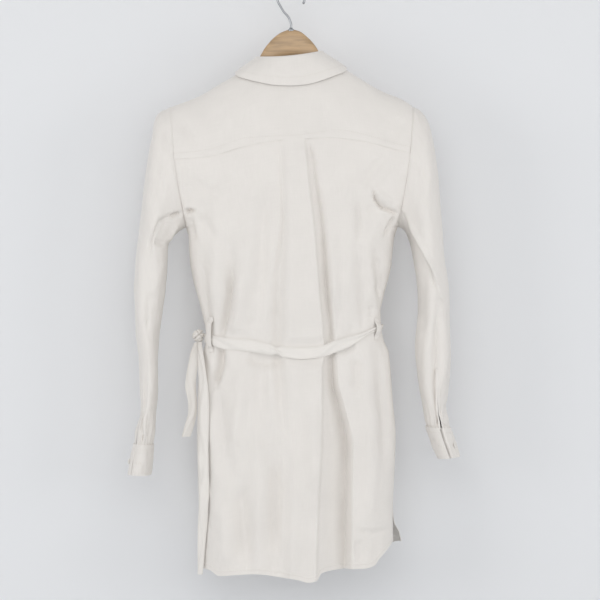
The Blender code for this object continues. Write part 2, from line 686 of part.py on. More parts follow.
def build_yoke():
    """Yoke: from the back seam over both shoulders to just in front of them."""
    neck_x, neck_angle = neck_seam(NECK_TURNS[NECK_STEPS - YOKE_STEPS:NECK_STEPS + YOKE_STEPS + 1][::-1])
    neck_low = np.linspace(YOKE_NECK_X, -YOKE_NECK_X, 2 * YOKE_STEPS + 1)
    part = np.linspace(0, 1, SHOULDER_STEPS + 1)
    left_low = 203 + (YOKE_NECK_X - 203) * part[:-1]
    right_low = -YOKE_NECK_X + (YOKE_NECK_X - 206) * part[1:]
    left_high = ARM_TOP_X[1] + (NECK_HALF_WIDTH - ARM_TOP_X[1]) * part[:-1]
    right_high = -NECK_HALF_WIDTH + (NECK_HALF_WIDTH + ARM_TOP_X[-1]) * part[1:]
    x_low = np.concatenate([left_low, neck_low, right_low])
    x_high = np.concatenate([left_high, neck_x, right_high])
    forward = np.full(SHOULDER_STEPS, YOKE_FORWARD)
    high_angle = np.concatenate([forward, neck_angle, forward])
    rows = np.concatenate([np.linspace(0, RIDGE_SHARE, 8), [0.5 + RIDGE_SHARE / 2, 1.0]])[:, None]
    x = x_low * (1 - rows) + x_high * rows
    for _ in range(3):
        seam = through(YOKE_SEAM, "x", "down", x[0]) - SEAM_GAP / 2
        low_angle = shoulder_angle(x[0], seam, 1)
        angle = low_angle * (1 - rows) + high_angle * rows
        down = ARM_MIDDLE - (ARM_MIDDLE - shoulder(x)) * np.cos(angle)
        x[:, 0] = armhole_x(1, down[:, 0])
        x[:, -1] = armhole_x(-1, down[:, -1])
    points = over_shoulder(x, angle)
    outward = shoulder_normal(x, angle)
    for side, column in ((1, 0), (-1, -1)):
        outward[:, column] = armhole_normal(side, down[:, column], points[:, column, 1])
    cloth_wall("yoke", points, points - WALL * outward)


def fold_line(turn):
    """Fold line of the collar, where the stand ends and the fall begins."""
    x = FOLD_CENTRE_X + FOLD_HALF_WIDTH * np.sin(turn)
    y = FOLD_CENTRE_Y + FOLD_HALF_DEPTH * np.cos(turn)
    drop = np.where(np.cos(turn) > 0, FOLD_BACK_DROP, FOLD_FRONT_DROP) * np.abs(np.cos(turn)) ** 1.6
    down = FOLD_SIDE_DOWN + drop + FOLD_TILT * x
    return np.stack([x, y, -down], axis=-1)


def neck_radial(turn):
    """Level direction out of the neck."""
    out = np.stack([FOLD_HALF_DEPTH * np.sin(turn), FOLD_HALF_WIDTH * np.cos(turn), 0 * turn], axis=-1)
    return unit(out)


def build_collar_stand():
    """Upright band between the neck seam and the fold line."""
    turn = NECK_TURNS
    x, angle = neck_seam(turn)
    base = over_shoulder(x, angle)
    outward = shoulder_normal(x, angle)
    along = unit(np.gradient(base, axis=0))
    into_hole = np.cross(outward, along)
    into_hole = into_hole * np.sign(np.sum(into_hole * -neck_radial(turn), axis=-1, keepdims=True))
    low = base + into_hole * SEAM_GAP
    high = fold_line(turn)
    rows = np.array([0.0, 0.35, 1.0])[:, None, None]
    shown = low * (1 - rows) + high * rows
    lean = np.array([0.0, 0.8, 1.0])[:, None, None]
    across = unit(outward * (1 - lean) + neck_radial(turn) * lean)
    cloth_wall("collar_stand", shown, shown - WALL * across)


def fall_edge(turn):
    """Outer edge of the collar, resting just off the yoke and the fronts."""
    past = np.clip((np.abs(turn) - math.pi / 2) / (FRONT_OPENING - math.pi / 2), 0, 1)
    narrow = math.acos(FALL_POINT_X / FALL_HALF_WIDTH)
    reach = np.where(past > 0, np.sign(turn) * np.cos(narrow * past), np.sin(turn))
    x = FALL_HALF_WIDTH * reach
    ahead = -FALL_FRONT_ANGLE * np.sin(past * math.pi / 2)
    angle = np.where(past > 0, ahead, FALL_BACK_ANGLE * np.cos(turn))
    return over_shoulder(x, angle) + shoulder_normal(x, angle) * FALL_CLEAR


def build_collar():
    """Fall of the collar: over the fold line and down to its outer edge and two points."""
    turn = NECK_TURNS
    top = fold_line(turn)
    out = neck_radial(turn)
    up = np.array([0.0, 0.0, 1.0])
    edge = fall_edge(turn)
    hidden = [top + 0.4 * up, top + 1.4 * up + 0.6 * out, top + 0.2 * up + 1.6 * out]
    start = top - 1.5 * up + 3.2 * out
    for share in (0.0, 0.33, 0.66, 1.0):
        bulge = 2.5 * math.sin(math.pi * share)
        hidden.append(start * (1 - share) + edge * share + out * bulge)
    hidden = np.stack(hidden)
    outward = facing(grid_normals(hidden), out + 0.3 * up)
    outward[0] = -out
    outward[1] = unit(up - 0.2 * out)
    outward[2] = unit(out + 0.8 * up)
    cloth_wall("collar", hidden + WALL * outward, hidden)


def ring_points(rings, turns):
    """Rows of points round a sleeve or cuff; turn 0 is outside, 90 is to the back."""
    rows = []
    for ring in rings:
        outer = np.array([ring.outer_x, 0.0, -ring.outer_down])
        inner = np.array([ring.inner_x, 0.0, -ring.inner_down])
        half = (outer - inner) / 2
        back = np.array([0.0, ring.depth, 0.0])
        rows.append((outer + inner) / 2 + np.cos(turns)[:, None] * half + np.sin(turns)[:, None] * back)
    return np.array(rows)


def open_turns(side, opening):
    """Angles round a wrist from one edge of its slit to the other."""
    start = SLIT_ANGLE[side] + opening / 2
    return start + np.linspace(0, 1, SLEEVE_COLUMNS + 1) * (2 * math.pi - opening)


def build_sleeve(side):
    """Sleeve: from the armhole seam down to the cuff, with a slit at its back."""
    name = {1: "sleeve_left", -1: "sleeve_right"}[side]
    rings = {1: LEFT_SLEEVE, -1: RIGHT_SLEEVE}[side]
    turns = SLIT_ANGLE[side] + np.linspace(0, 2 * math.pi, SLEEVE_COLUMNS + 1)
    down = ARM_MIDDLE - (ARM_MIDDLE - ARM_TOP) * np.cos(turns)
    depth = ARM_DEPTH * np.sin(turns)
    under = np.clip((down - ARM_MIDDLE) / (ARM_BOTTOM - ARM_MIDDLE), 0, 1)
    gap = SEAM_GAP + UNDERARM_EASE * under**4
    first = np.stack([armhole_x(side, down) + side * gap, depth, -down], axis=-1)
    seam_out = armhole_normal(side, down, depth)
    points = ring_points(rings, turns)
    for row in range(1, SLIT_ROWS + 1):
        open_by = SLIT_OPENING[side] * (SLIT_ROWS + 1 - row) / SLIT_ROWS
        squeezed = open_turns(side, open_by)
        points[-row] = ring_points(rings[-row:][:1], squeezed)[0]
    middle = points[:, :-1].mean(axis=1, keepdims=True)
    for fold in SLEEVE_FOLDS:
        rows = np.arange(len(rings))[:, None]
        away = np.degrees(turns)[None, :] - fold.angle
        away = (away + 180) % 360 - 180
        spread = np.exp(-(((rows - fold.ring) / fold.ring_spread) ** 2) - (away / fold.angle_spread) ** 2)
        points = points + unit(points - middle) * (fold.height * spread)[..., None]
    points = np.concatenate([first[None], points])
    away = unit(points - points[:, :-1].mean(axis=1, keepdims=True))
    outward = facing(grid_normals(points, closed=True), away)
    outward[0] = seam_out
    cloth_wall(name, points, points - WALL * outward)


def build_cuff(side):
    """Cuff: a band round the wrist, open at the slit."""
    name = {1: "cuff_left", -1: "cuff_right"}[side]
    rings = {1: LEFT_CUFF, -1: RIGHT_CUFF}[side]
    last = {1: LEFT_SLEEVE, -1: RIGHT_SLEEVE}[side][-1]
    top = rings[0]._replace(
        outer_x=last.outer_x + side * 0.2, inner_x=last.inner_x,
        outer_down=last.outer_down + 0.5, inner_down=last.inner_down + 0.5,
    )
    points = ring_points((top,) + rings[1:], open_turns(side, SLIT_OPENING[side]))
    outward = unit(points - points.mean(axis=1, keepdims=True))
    cloth_wall(name, points, points - CUFF_WALL * outward)


def waist_turns(count):
    """Angles round the waist, evenly spaced along it, from behind the knot to before it."""
    middle = through(SECTIONS, "down", "back", BELT_DOWN)
    start = math.asin((BELT_TIE_Y / middle) ** (SIDE_POWER / 2))
    fine = np.linspace(start, 2 * math.pi - start, 4001)
    x = side_x(1, np.array(BELT_DOWN), 1) * np.sign(np.cos(fine)) * np.abs(np.cos(fine)) ** (2 / SIDE_POWER)
    y = middle * np.sign(np.sin(fine)) * np.abs(np.sin(fine)) ** (2 / SIDE_POWER)
    length = np.concatenate([[0.0], np.cumsum(np.hypot(np.diff(x), np.diff(y)))])
    return np.interp(np.linspace(0, length[-1], count), length, fine)


def build_belt_band():
    """Belt round the waist, from the knot round the back, the right side and the front."""
    turn = waist_turns(65)
    face = np.where(np.sin(turn) >= 0, 1, -1)
    rows = []
    for share in (0.0, 0.5, 1.0):
        down = np.full(len(turn), BELT_DOWN)
        for _ in range(4):
            left = side_x(1, down, 1)
            right = side_x(-1, down, 1)
            across = np.sign(np.cos(turn)) * np.abs(np.cos(turn)) ** (2 / SIDE_POWER)
            x = (left + right) / 2 + (left - right) / 2 * across
            behind = through(BELT_BACK, "x", "top", x), through(BELT_BACK, "x", "bottom", x)
            ahead = through(BELT_FRONT, "x", "top", x), through(BELT_FRONT, "x", "bottom", x)
            high = np.where(face > 0, behind[0], ahead[0])
            low = np.where(face > 0, behind[1], ahead[1])
            down = high * (1 - share) + low * share
        middle = np.where(
            face > 0, through(SECTIONS, "down", "back", down), through(SECTIONS, "down", "front", down)
        )
        y = face * middle * np.abs(np.sin(turn)) ** (2 / SIDE_POWER)
        rows.append(np.stack([x, y, -down], axis=-1))
    plain = np.array(rows)
    tangent = np.gradient(plain, axis=1)
    outward = unit(np.stack([tangent[..., 1], -tangent[..., 0], 0 * tangent[..., 0]], axis=-1))
    outward = facing(outward, plain * np.array([1.0, 1.0, 0.0]))
    cover = (OVERLAP_LIFT + BAND_WALL + LAYER_GAP) * rise((78 - np.abs(plain[..., 0])) / 45)
    lift = BELT_GAP + np.where(plain[..., 1] < 0, cover, 0.0)
    hidden = plain + outward * lift[..., None]
    cloth_wall("belt_band", hidden + outward * BELT_WALL, hidden)


def build_belt_knot():
    """Knot of the belt at the left side."""
    bm = bmesh.new()
    bmesh.ops.create_uvsphere(bm, u_segments=16, v_segments=10, radius=KNOT_RADIUS * MM)
    for vert in bm.verts:
        twist = 3 * math.atan2(vert.co.y, vert.co.x) + vert.co.z / (KNOT_RADIUS * MM)
        bump = KNOT_FLATTEN * (1 + KNOT_RELIEF * math.sin(twist))
        vert.co.x *= bump
        vert.co.y *= bump
        vert.co.x += KNOT_X * MM
        vert.co.z -= KNOT_DOWN * MM
    add_object("belt_knot", bm, CLOTH)


def build_tail(name, rows):
    """A free end of the belt: a strip along its middle line, turned as it hangs."""
    middle = np.array([[row.x, row.y, -row.down] for row in rows])
    turn = np.radians([row.turn for row in rows])
    half = np.array([row.width for row in rows]) / 2
    across = np.stack([np.cos(turn), -np.sin(turn), 0 * turn], axis=-1)
    outward = np.stack([np.sin(turn), np.cos(turn), 0 * turn], axis=-1)
    shown = np.stack([middle - across * half[:, None], middle, middle + across * half[:, None]], axis=1)
    cloth_wall(name, shown, shown - outward[:, None] * BELT_WALL)


def build_belt_loop(name, x, top, bottom):
    """Loop at the side seam that the belt runs through."""
    down = np.array([top, top + 6, top + 14, bottom - 14, bottom - 6, bottom])
    stand = np.array([0.0, 0.0, BELT_WALL + BELT_GAP, BELT_WALL + BELT_GAP, 0.0, 0.0]) + LAYER_GAP
    places = np.array([x - LOOP_WIDTH / 2, x, x + LOOP_WIDTH / 2])
    across, height = np.meshgrid(places, down)
    plain = body(across, height, 1)
    outward = facing(grid_normals(plain), np.array([0.3 * np.sign(x), 1.0, 0.0]))
    hidden = plain + outward * stand[:, None, None]
    cloth_wall(name, hidden + outward * LOOP_WALL, hidden)


def add_button(name, radius, place, outward):
    """Button: a flat disc with a softened rim, lying on the cloth."""
    bm = bmesh.new()
    bmesh.ops.create_cone(
        bm, cap_ends=True, segments=12, radius1=radius * MM, radius2=radius * MM, depth=BUTTON_THICK * MM
    )
    rim = [edge for edge in bm.edges if abs(edge.verts[0].co.z - edge.verts[1].co.z) < 1e-7]
    bmesh.ops.bevel(
        bm, geom=rim, offset=0.5 * MM, offset_type="OFFSET", segments=1, profile=0.5,
        affect="EDGES", material=-1,
    )
    made = add_object(name, bm, BUTTON_FINISH)
    made.rotation_mode = "QUATERNION"
    made.rotation_quaternion = Vector((0.0, 0.0, 1.0)).rotation_difference(Vector(outward))
    made.location = tuple((place + outward * (BUTTON_THICK / 2 + LAYER_GAP)) * MM)


def build_buttons():
    """Buttons down the front, spaced evenly and missing the belt."""
    stand = OVERLAP_LIFT + LAYER_GAP + BAND_WALL
    for number in range(BUTTON_COUNT):
        down = BUTTON_FIRST + number * BUTTON_STEP
        points = body(np.array([-1.0, 0.0, 1.0]), np.array([down, down, down]), -1)
        above = body(np.array([0.0]), np.array([down - 1.0]), -1)[0]
        outward = unit(np.cross(points[2] - points[0], above - points[1]))
        outward = outward * np.sign(-outward[1])
        add_button(f"button_{number + 1}", BUTTON_RADIUS, points[1] + outward * stand, outward)


def hook_course():
    """Middle line of the hook's wire, from the hanger up, round and over."""
    turn = np.radians(np.linspace(205, -25, 21))
    centre = WIRE_RADIUS - HOOK_RADIUS
    arc = np.stack([-HOOK_RADIUS * np.cos(turn), 0 * turn, centre + HOOK_RADIUS * np.sin(turn)], axis=-1)
    stem = np.array([[0.0, 0.0, -77.4], [0.0, 0.0, -68.0], [4.5, 0.0, -57.0], [13.0, 0.0, -47.0]])
    return np.concatenate([stem, arc])


def build_hook():
    """Steel hook: a bevelled curve from the hanger's top to its free tip."""
    points = hook_course()
    curve = bpy.data.curves.new("hook", "CURVE")
    curve.dimensions = "3D"
    spline = curve.splines.new("POLY")
    spline.points.add(len(points) - 1)
    for point, place in zip(spline.points, points):
        point.co = (*(place * MM), 1.0)
    curve.bevel_depth = WIRE_RADIUS * MM
    curve.bevel_resolution = 2
    curve.use_fill_caps = True
    curve.materials.append(finish_material(STEEL))
    made = bpy.data.objects.new("hook", curve)
    bpy.context.scene.collection.objects.link(made)


def hanger_top(x):
    """Upper line of the hanger: a dome in the collar, then just under the yoke."""
    arm = shoulder(x) + WALL + HANGER_SEAT
    dome = through(DOME, "x", "down", x)
    return np.where(np.abs(x) < 70, dome, arm)


def build_hanger():
    """Wooden hanger: rounded sections swept from tip to tip."""
    left_tip = ARM_TOP_X[1] - HANGER_TIP_GAP
    right_tip = ARM_TOP_X[-1] + HANGER_TIP_GAP
    left_arm = np.linspace(left_tip, 70, 9)
    right_arm = np.linspace(-70, right_tip, 9)
    middle = np.array([63, 57, 51, 44, 36, 28, 20, 11, 0, -11, -20, -28, -35, -42, -51, -58, -64])
    places = np.concatenate([left_arm, middle, right_arm])
    turns = np.linspace(0, 2 * math.pi, 12, endpoint=False)
    bm = bmesh.new()
    bmesh.ops.create_circle(bm, cap_ends=True, segments=len(turns), radius=1)
    face = list(bm.faces)[0]
    for index, x in enumerate(places):
        if index:
            face = extrude_cap(bm, face, keep=index == 1)
        top = float(hanger_top(np.array([x]))[0])
        away = abs(x)
        height = float(through(HANGER_SECTION, "away", "height", away))
        depth = float(through(HANGER_SECTION, "away", "half_depth", away))
        forward = float(through(HANGER_SECTION, "away", "forward", away))
        end = 0.75 if index in (0, len(places) - 1) else 1.0
        for vert, turn in zip(cap_loop(face), turns):
            out = math.copysign(abs(math.cos(turn)) ** 0.9, math.cos(turn))
            up = math.copysign(abs(math.sin(turn)) ** 0.9, math.sin(turn))
            y = forward + depth * end * out
            z = height / 2 * (end * up - 1) - top
            vert.co = (x * MM, y * MM, z * MM)
    add_object("hanger", bm, WOOD)


def cap_loop(face):
    """Vertices of a cap in the order of its ring."""
    return [loop.vert for loop in face.loops]


def extrude_cap(bm, face, keep):
    """Extrude the cap of the sweep one step and return the new cap; the first one is kept."""
    made = bmesh.ops.extrude_face_region(bm, geom=[face], use_keep_orig=True)
    if not keep:
        bmesh.ops.delete(bm, geom=[face], context="FACES_ONLY")
    return next(item for item in made["geom"] if isinstance(item, bmesh.types.BMFace))


def main():
    """Build the hanger, the dress and the belt."""
    remove_everything()
    build_hook()
    build_hanger()
    build_yoke()
    build_back()
    build_front(1)
    build_front(-1)
    build_button_band()
    build_collar_stand()
    build_collar()
    for side in (1, -1):
        build_sleeve(side)
        build_cuff(side)
    build_belt_band()
    build_belt_knot()
    build_tail("belt_tail_short", SHORT_TAIL)
    build_tail("belt_tail_long", LONG_TAIL)
    build_belt_loop("belt_loop_left", 136, 566, 638)
    build_belt_loop("belt_loop_right", -146, 562, 624)
    build_buttons()


main()
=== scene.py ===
"""Off-white shirt dress hanging empty on a wooden hanger, seen from the back.

Frame: metres, +Z up, origin at the inside top of the hanger's hook. The back of the dress
faces +Y and the wearer's left side is at +X. Tables are in millimetres, and "down" is the
distance below the origin.
"""

import logging
import math
from collections import namedtuple
from dataclasses import dataclass
from enum import Enum

import bmesh
import bpy
import numpy as np
from mathutils import Matrix, Vector


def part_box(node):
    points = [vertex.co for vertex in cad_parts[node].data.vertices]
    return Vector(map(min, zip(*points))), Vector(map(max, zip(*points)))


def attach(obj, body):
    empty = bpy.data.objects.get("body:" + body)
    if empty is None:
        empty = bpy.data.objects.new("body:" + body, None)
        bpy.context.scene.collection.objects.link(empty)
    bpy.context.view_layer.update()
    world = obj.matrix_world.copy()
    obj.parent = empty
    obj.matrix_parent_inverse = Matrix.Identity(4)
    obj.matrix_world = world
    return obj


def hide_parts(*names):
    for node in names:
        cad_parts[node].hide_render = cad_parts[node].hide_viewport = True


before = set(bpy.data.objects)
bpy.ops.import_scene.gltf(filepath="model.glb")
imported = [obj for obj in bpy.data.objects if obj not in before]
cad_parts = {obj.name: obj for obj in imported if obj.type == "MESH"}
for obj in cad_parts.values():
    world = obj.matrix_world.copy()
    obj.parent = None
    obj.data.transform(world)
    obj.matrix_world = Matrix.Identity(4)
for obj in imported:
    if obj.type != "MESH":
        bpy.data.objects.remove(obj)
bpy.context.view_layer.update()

log = logging.getLogger("dress")

MM = 0.001
BODY = "root"
WALL = 0.9
SEAM_GAP = 0.1
WHOLE = slice(None)
THREAD_LIFT = 0.1
HEM_ROWS = 6
HEM_SEAM_ROW = -5
HEM_THREAD_LIFT = 0.15

# Armhole: an upright loop at each side, from the shoulder point to the underarm point.
ARM_TOP = 211.0
ARM_BOTTOM = 418.0
ARM_MIDDLE = 0.5 * (ARM_TOP + ARM_BOTTOM)
ARM_DEPTH = 50.0
ARM_BOW = 5.0
UNDERARM_SPREAD = 26.0
ARM_TOP_X = {1: 204.0, -1: -208.0}
ARM_BOTTOM_X = {1: 179.0, -1: -182.0}

# Neck seam and the line where the collar folds over.
NECK_HALF_WIDTH = 70.0
NECK_BACK_ANGLE = math.radians(36.5)
NECK_FRONT_ANGLE = math.radians(58.5)
FRONT_OPENING = math.radians(175.0)
YOKE_TURN = FRONT_OPENING * 2 / 3
YOKE_FORWARD = NECK_FRONT_ANGLE * math.cos(YOKE_TURN)
SIDE_POWER = 3.0
BAND_HALF_WIDTH = 15.0
OVERLAP_LIFT = 1.8
BELT_DOWN = 612.0

Ridge = namedtuple("Ridge", "x down")
SHOULDER_LINE = (
    Ridge(-208, 210), Ridge(-193, 200), Ridge(-153, 183), Ridge(-114, 160), Ridge(-95, 148),
    Ridge(-71, 133), Ridge(-40, 124), Ridge(0, 120), Ridge(40, 127), Ridge(71, 140),
    Ridge(96, 157), Ridge(127, 175), Ridge(157, 193), Ridge(204, 211),
)

# Width and half depths of the dress by height; the fronts part from the back at the vents.
Section = namedtuple("Section", "down left right left_front right_front back front")
SECTIONS = (
    Section(120, 179, -182, 179, -182, 50, 46),
    Section(314, 179, -182, 179, -182, 53, 48),
    Section(418, 179, -182, 179, -182, 60, 52),
    Section(432, 176, -178, 176, -178, 61, 53),
    Section(458, 175, -175, 175, -175, 62, 54),
    Section(483, 172, -172, 172, -172, 62, 54),
    Section(509, 167, -166, 167, -166, 61, 53),
    Section(535, 160, -159, 160, -159, 59, 52),
    Section(561, 153, -154, 153, -154, 56, 50),
    Section(590, 147, -155, 147, -155, 51, 46),
    Section(614, 146, -160, 146, -160, 50, 45),
    Section(633, 151, -168, 151, -168, 51, 46),
    Section(673, 158, -172, 158, -172, 56, 50),
    Section(714, 160, -175, 160, -175, 60, 53),
    Section(776, 161, -180, 161, -180, 63, 56),
    Section(839, 160, -178, 160, -178, 65, 58),
    Section(901, 158, -175, 158, -175.5, 67, 60),
    Section(926, 157.4, -175, 158, -178, 67.6, 60.6),
    Section(943, 157, -175, 158, -187, 68, 61),
    Section(1017, 153, -172, 157, -197, 69, 62),
)
VENT_TOP = 880.0
VENT_BOTTOM = 1000.0
VENT_OPENING = 5.0

Edge = namedtuple("Edge", "x down")
YOKE_SEAM = (
    Edge(-206, 291), Edge(-185, 287), Edge(-163, 281), Edge(-138, 274.5), Edge(-114, 269.5),
    Edge(-90, 266.5), Edge(-63, 265), Edge(-22, 267), Edge(16, 269), Edge(78, 280),
    Edge(145, 298), Edge(202, 302),
)
BACK_HEM = (
    Edge(-177, 953), Edge(-170, 962), Edge(-162, 972), Edge(-151, 984), Edge(-143, 995),
    Edge(-127, 1000), Edge(-98, 1001), Edge(-67, 1004), Edge(-52, 1008), Edge(-44, 1020),
    Edge(-29, 1023), Edge(-15, 1019), Edge(10, 1015), Edge(60, 1009), Edge(96, 1011),
    Edge(122, 1013), Edge(138, 1004), Edge(155, 1001),
)
FRONT_HEM = (
    Edge(-199, 957), Edge(-178, 962), Edge(-140, 985), Edge(-90, 1000), Edge(0, 1006),
    Edge(90, 1002), Edge(130, 996), Edge(160, 990),
)

# The centre back box pleat: its two folded edges and the line where its underlay ends.
Pleat = namedtuple("Pleat", "down left right underlay depth")
BOX_PLEAT = (
    Pleat(260, 16, -22, -27, 2.0),
    Pleat(300, 14, -27, -36, 2.6),
    Pleat(354, 12, -32, -44, 3.6),
    Pleat(402, 11, -38, -52, 4.6),
    Pleat(535, 17, -49, -63, 6.6),
    Pleat(609, 18, -55, -69, 5.6),
    Pleat(681, 14, -53, -72, 9.0),
    Pleat(716, 12, -53, -81, 10.0),
    Pleat(796, 6, -52, -98, 12.5),
    Pleat(888, 8, -47, -97, 12.5),
    Pleat(1025, 10, -43, -96, 11.0),
)
PLEAT_RISE = 4.0
PLEAT_GAIN = 2.5
PLEAT_EDGE = 5.0
PLEAT_DIP = 14.0
DIP_GAIN = 1.35
DIP_BROADENS = 400.0
DIP_ENDS = 800.0
UNDERLAY_MIN = 15.0

Belt = namedtuple("Belt", "x top bottom")
BELT_BACK = (
    Belt(-158, 584, 592), Belt(-139, 591, 599), Belt(-119, 600, 611), Belt(-98, 606, 624),
    Belt(-72, 614, 634), Belt(-50, 622, 641), Belt(-17, 625, 644), Belt(24, 621, 639),
    Belt(72, 611, 631), Belt(108, 608, 628), Belt(146, 602, 616),
)
BELT_FRONT = (
    Belt(-158, 584, 592), Belt(-120, 597, 611), Belt(-60, 612, 632), Belt(0, 617, 637),
    Belt(60, 614, 634), Belt(110, 608, 627), Belt(146, 602, 616),
)

# Sleeves: each ring runs from its outer point to its inner point, with a half depth along Y.
Ring = namedtuple("Ring", "outer_x outer_down inner_x inner_down depth")
LEFT_SLEEVE = (
    Ring(218, 217, 184, 420, 53), Ring(230, 225, 189, 423, 56), Ring(236, 241, 194, 427, 58),
    Ring(239, 263, 199, 431, 59), Ring(243, 289, 204, 436, 60), Ring(249, 323, 208, 442, 60),
    Ring(255, 372, 211, 452, 59), Ring(259, 409, 212, 470, 58), Ring(263, 440, 213, 495, 57),
    Ring(267, 480, 215, 521, 56), Ring(269, 520, 219, 547, 55), Ring(268, 561, 223, 575, 54),
    Ring(266, 600, 227, 606, 53), Ring(262, 640, 229, 640, 52), Ring(260, 678, 229, 678, 51),
    Ring(260, 712, 230, 712, 50), Ring(260, 736, 232, 741, 49), Ring(265, 760, 234, 765, 48),
    Ring(271, 792, 236, 794, 46),
)
RIGHT_SLEEVE = (
    Ring(-221, 217, -187, 420, 53), Ring(-231, 228, -191, 422, 56), Ring(-238, 244, -195, 427, 58),
    Ring(-243, 264, -199, 434, 59), Ring(-247, 290, -203, 444, 60), Ring(-251, 322, -206, 456, 60),
    Ring(-255, 356, -209, 470, 59), Ring(-258, 392, -212, 486, 58), Ring(-261, 428, -215, 506, 57),
    Ring(-264, 470, -217, 532, 56), Ring(-270, 509, -218, 560, 55), Ring(-272, 545, -216, 588, 54),
    Ring(-272, 578, -214, 616, 53), Ring(-274, 615, -215, 644, 52), Ring(-275, 650, -218, 670, 51),
    Ring(-272, 690, -221, 696, 50), Ring(-268, 722, -226, 722, 49), Ring(-270, 745, -230, 743, 48),
    Ring(-275, 765, -232, 763, 46),
)
LEFT_CUFF = (
    Ring(271.2, 792.5, 236, 794.5, 46), Ring(276, 818, 238, 820, 45), Ring(280, 843, 240, 844, 44),
)
RIGHT_CUFF = (
    Ring(-275.2, 765.5, -232, 763.5, 46), Ring(-283, 790, -241, 790, 45),
    Ring(-290, 812, -251, 816, 44),
)
SLIT_RINGS = 4
SLIT_ANGLE = {1: math.radians(48.0), -1: math.radians(80.0)}
SLIT_OPENING = {1: math.radians(13.0), -1: math.radians(19.0)}

Tail = namedtuple("Tail", "x y down width turn")
SHORT_TAIL = (
    Tail(161, 2, 616.5, 10, 0), Tail(165, 7, 634, 15, 4), Tail(167, 12, 650, 17, 10),
    Tail(171, 13, 673, 18, 4), Tail(172, 14, 695, 18, -6), Tail(169, 14, 716, 16, -14),
    Tail(169, 14, 738, 15, -8), Tail(174, 13, 758, 16, 0), Tail(180, 12, 778, 15, 6),
)
LONG_TAIL = (
    Tail(157, 8, 615.4, 9, 40), Tail(154, 27, 640, 15, 46), Tail(152, 36, 664, 18, 42),
    Tail(149, 39, 692, 18, 36), Tail(148, 41, 724, 18, 30), Tail(148.5, 41, 760, 18, 26),
    Tail(149, 40, 796, 18, 22), Tail(149, 40, 820, 18, 12), Tail(148, 40, 844, 18, 28),
    Tail(148, 40, 868, 18, 6), Tail(149, 40, 892, 18, 28), Tail(150.5, 39, 920, 17, 14),
    Tail(152, 38, 948, 16, 26), Tail(153.5, 37, 980, 14, 32), Tail(155, 36, 1012, 11, 36),
)

# Upper line of the hanger inside the collar, then its section from the middle to the tips.
DOME = (
    Edge(-70, 140), Edge(-64, 135.5), Edge(-58, 130), Edge(-51, 121), Edge(-41, 105),
    Edge(-29, 92), Edge(-14, 81), Edge(0, 78), Edge(14, 82), Edge(28, 91), Edge(45, 110),
    Edge(52, 122), Edge(57, 131.5), Edge(63, 139), Edge(70, 145),
)
Arm = namedtuple("Arm", "away height half_depth forward")
HANGER_SECTION = (
    Arm(0, 46, 6.5, 0), Arm(30, 42, 6.5, 0), Arm(60, 32, 6.5, 0), Arm(100, 26, 7.5, 0),
    Arm(150, 21, 8.5, -0.5), Arm(204, 16, 9.5, -1),
)


class Face(Enum):
    """The two faces of the dress, by the sign of Y."""

    BACK = 1
    FRONT = -1


class Side(Enum):
    """The wearer's two sides, by the sign of X."""

    LEFT = 1
    RIGHT = -1

    @property
    def word(self) -> str:
        """The side's name in small letters."""
        return self.name.lower()


@dataclass(frozen=True)
class Crease:
    """A soft trough (negative height) or ridge along a line of (across, down) places.

    The width is its half width, and lean stretches the side that looks towards +X.
    """

    line: tuple[tuple[float, float], ...]
    width: float
    height: float
    lean: float = 1.0


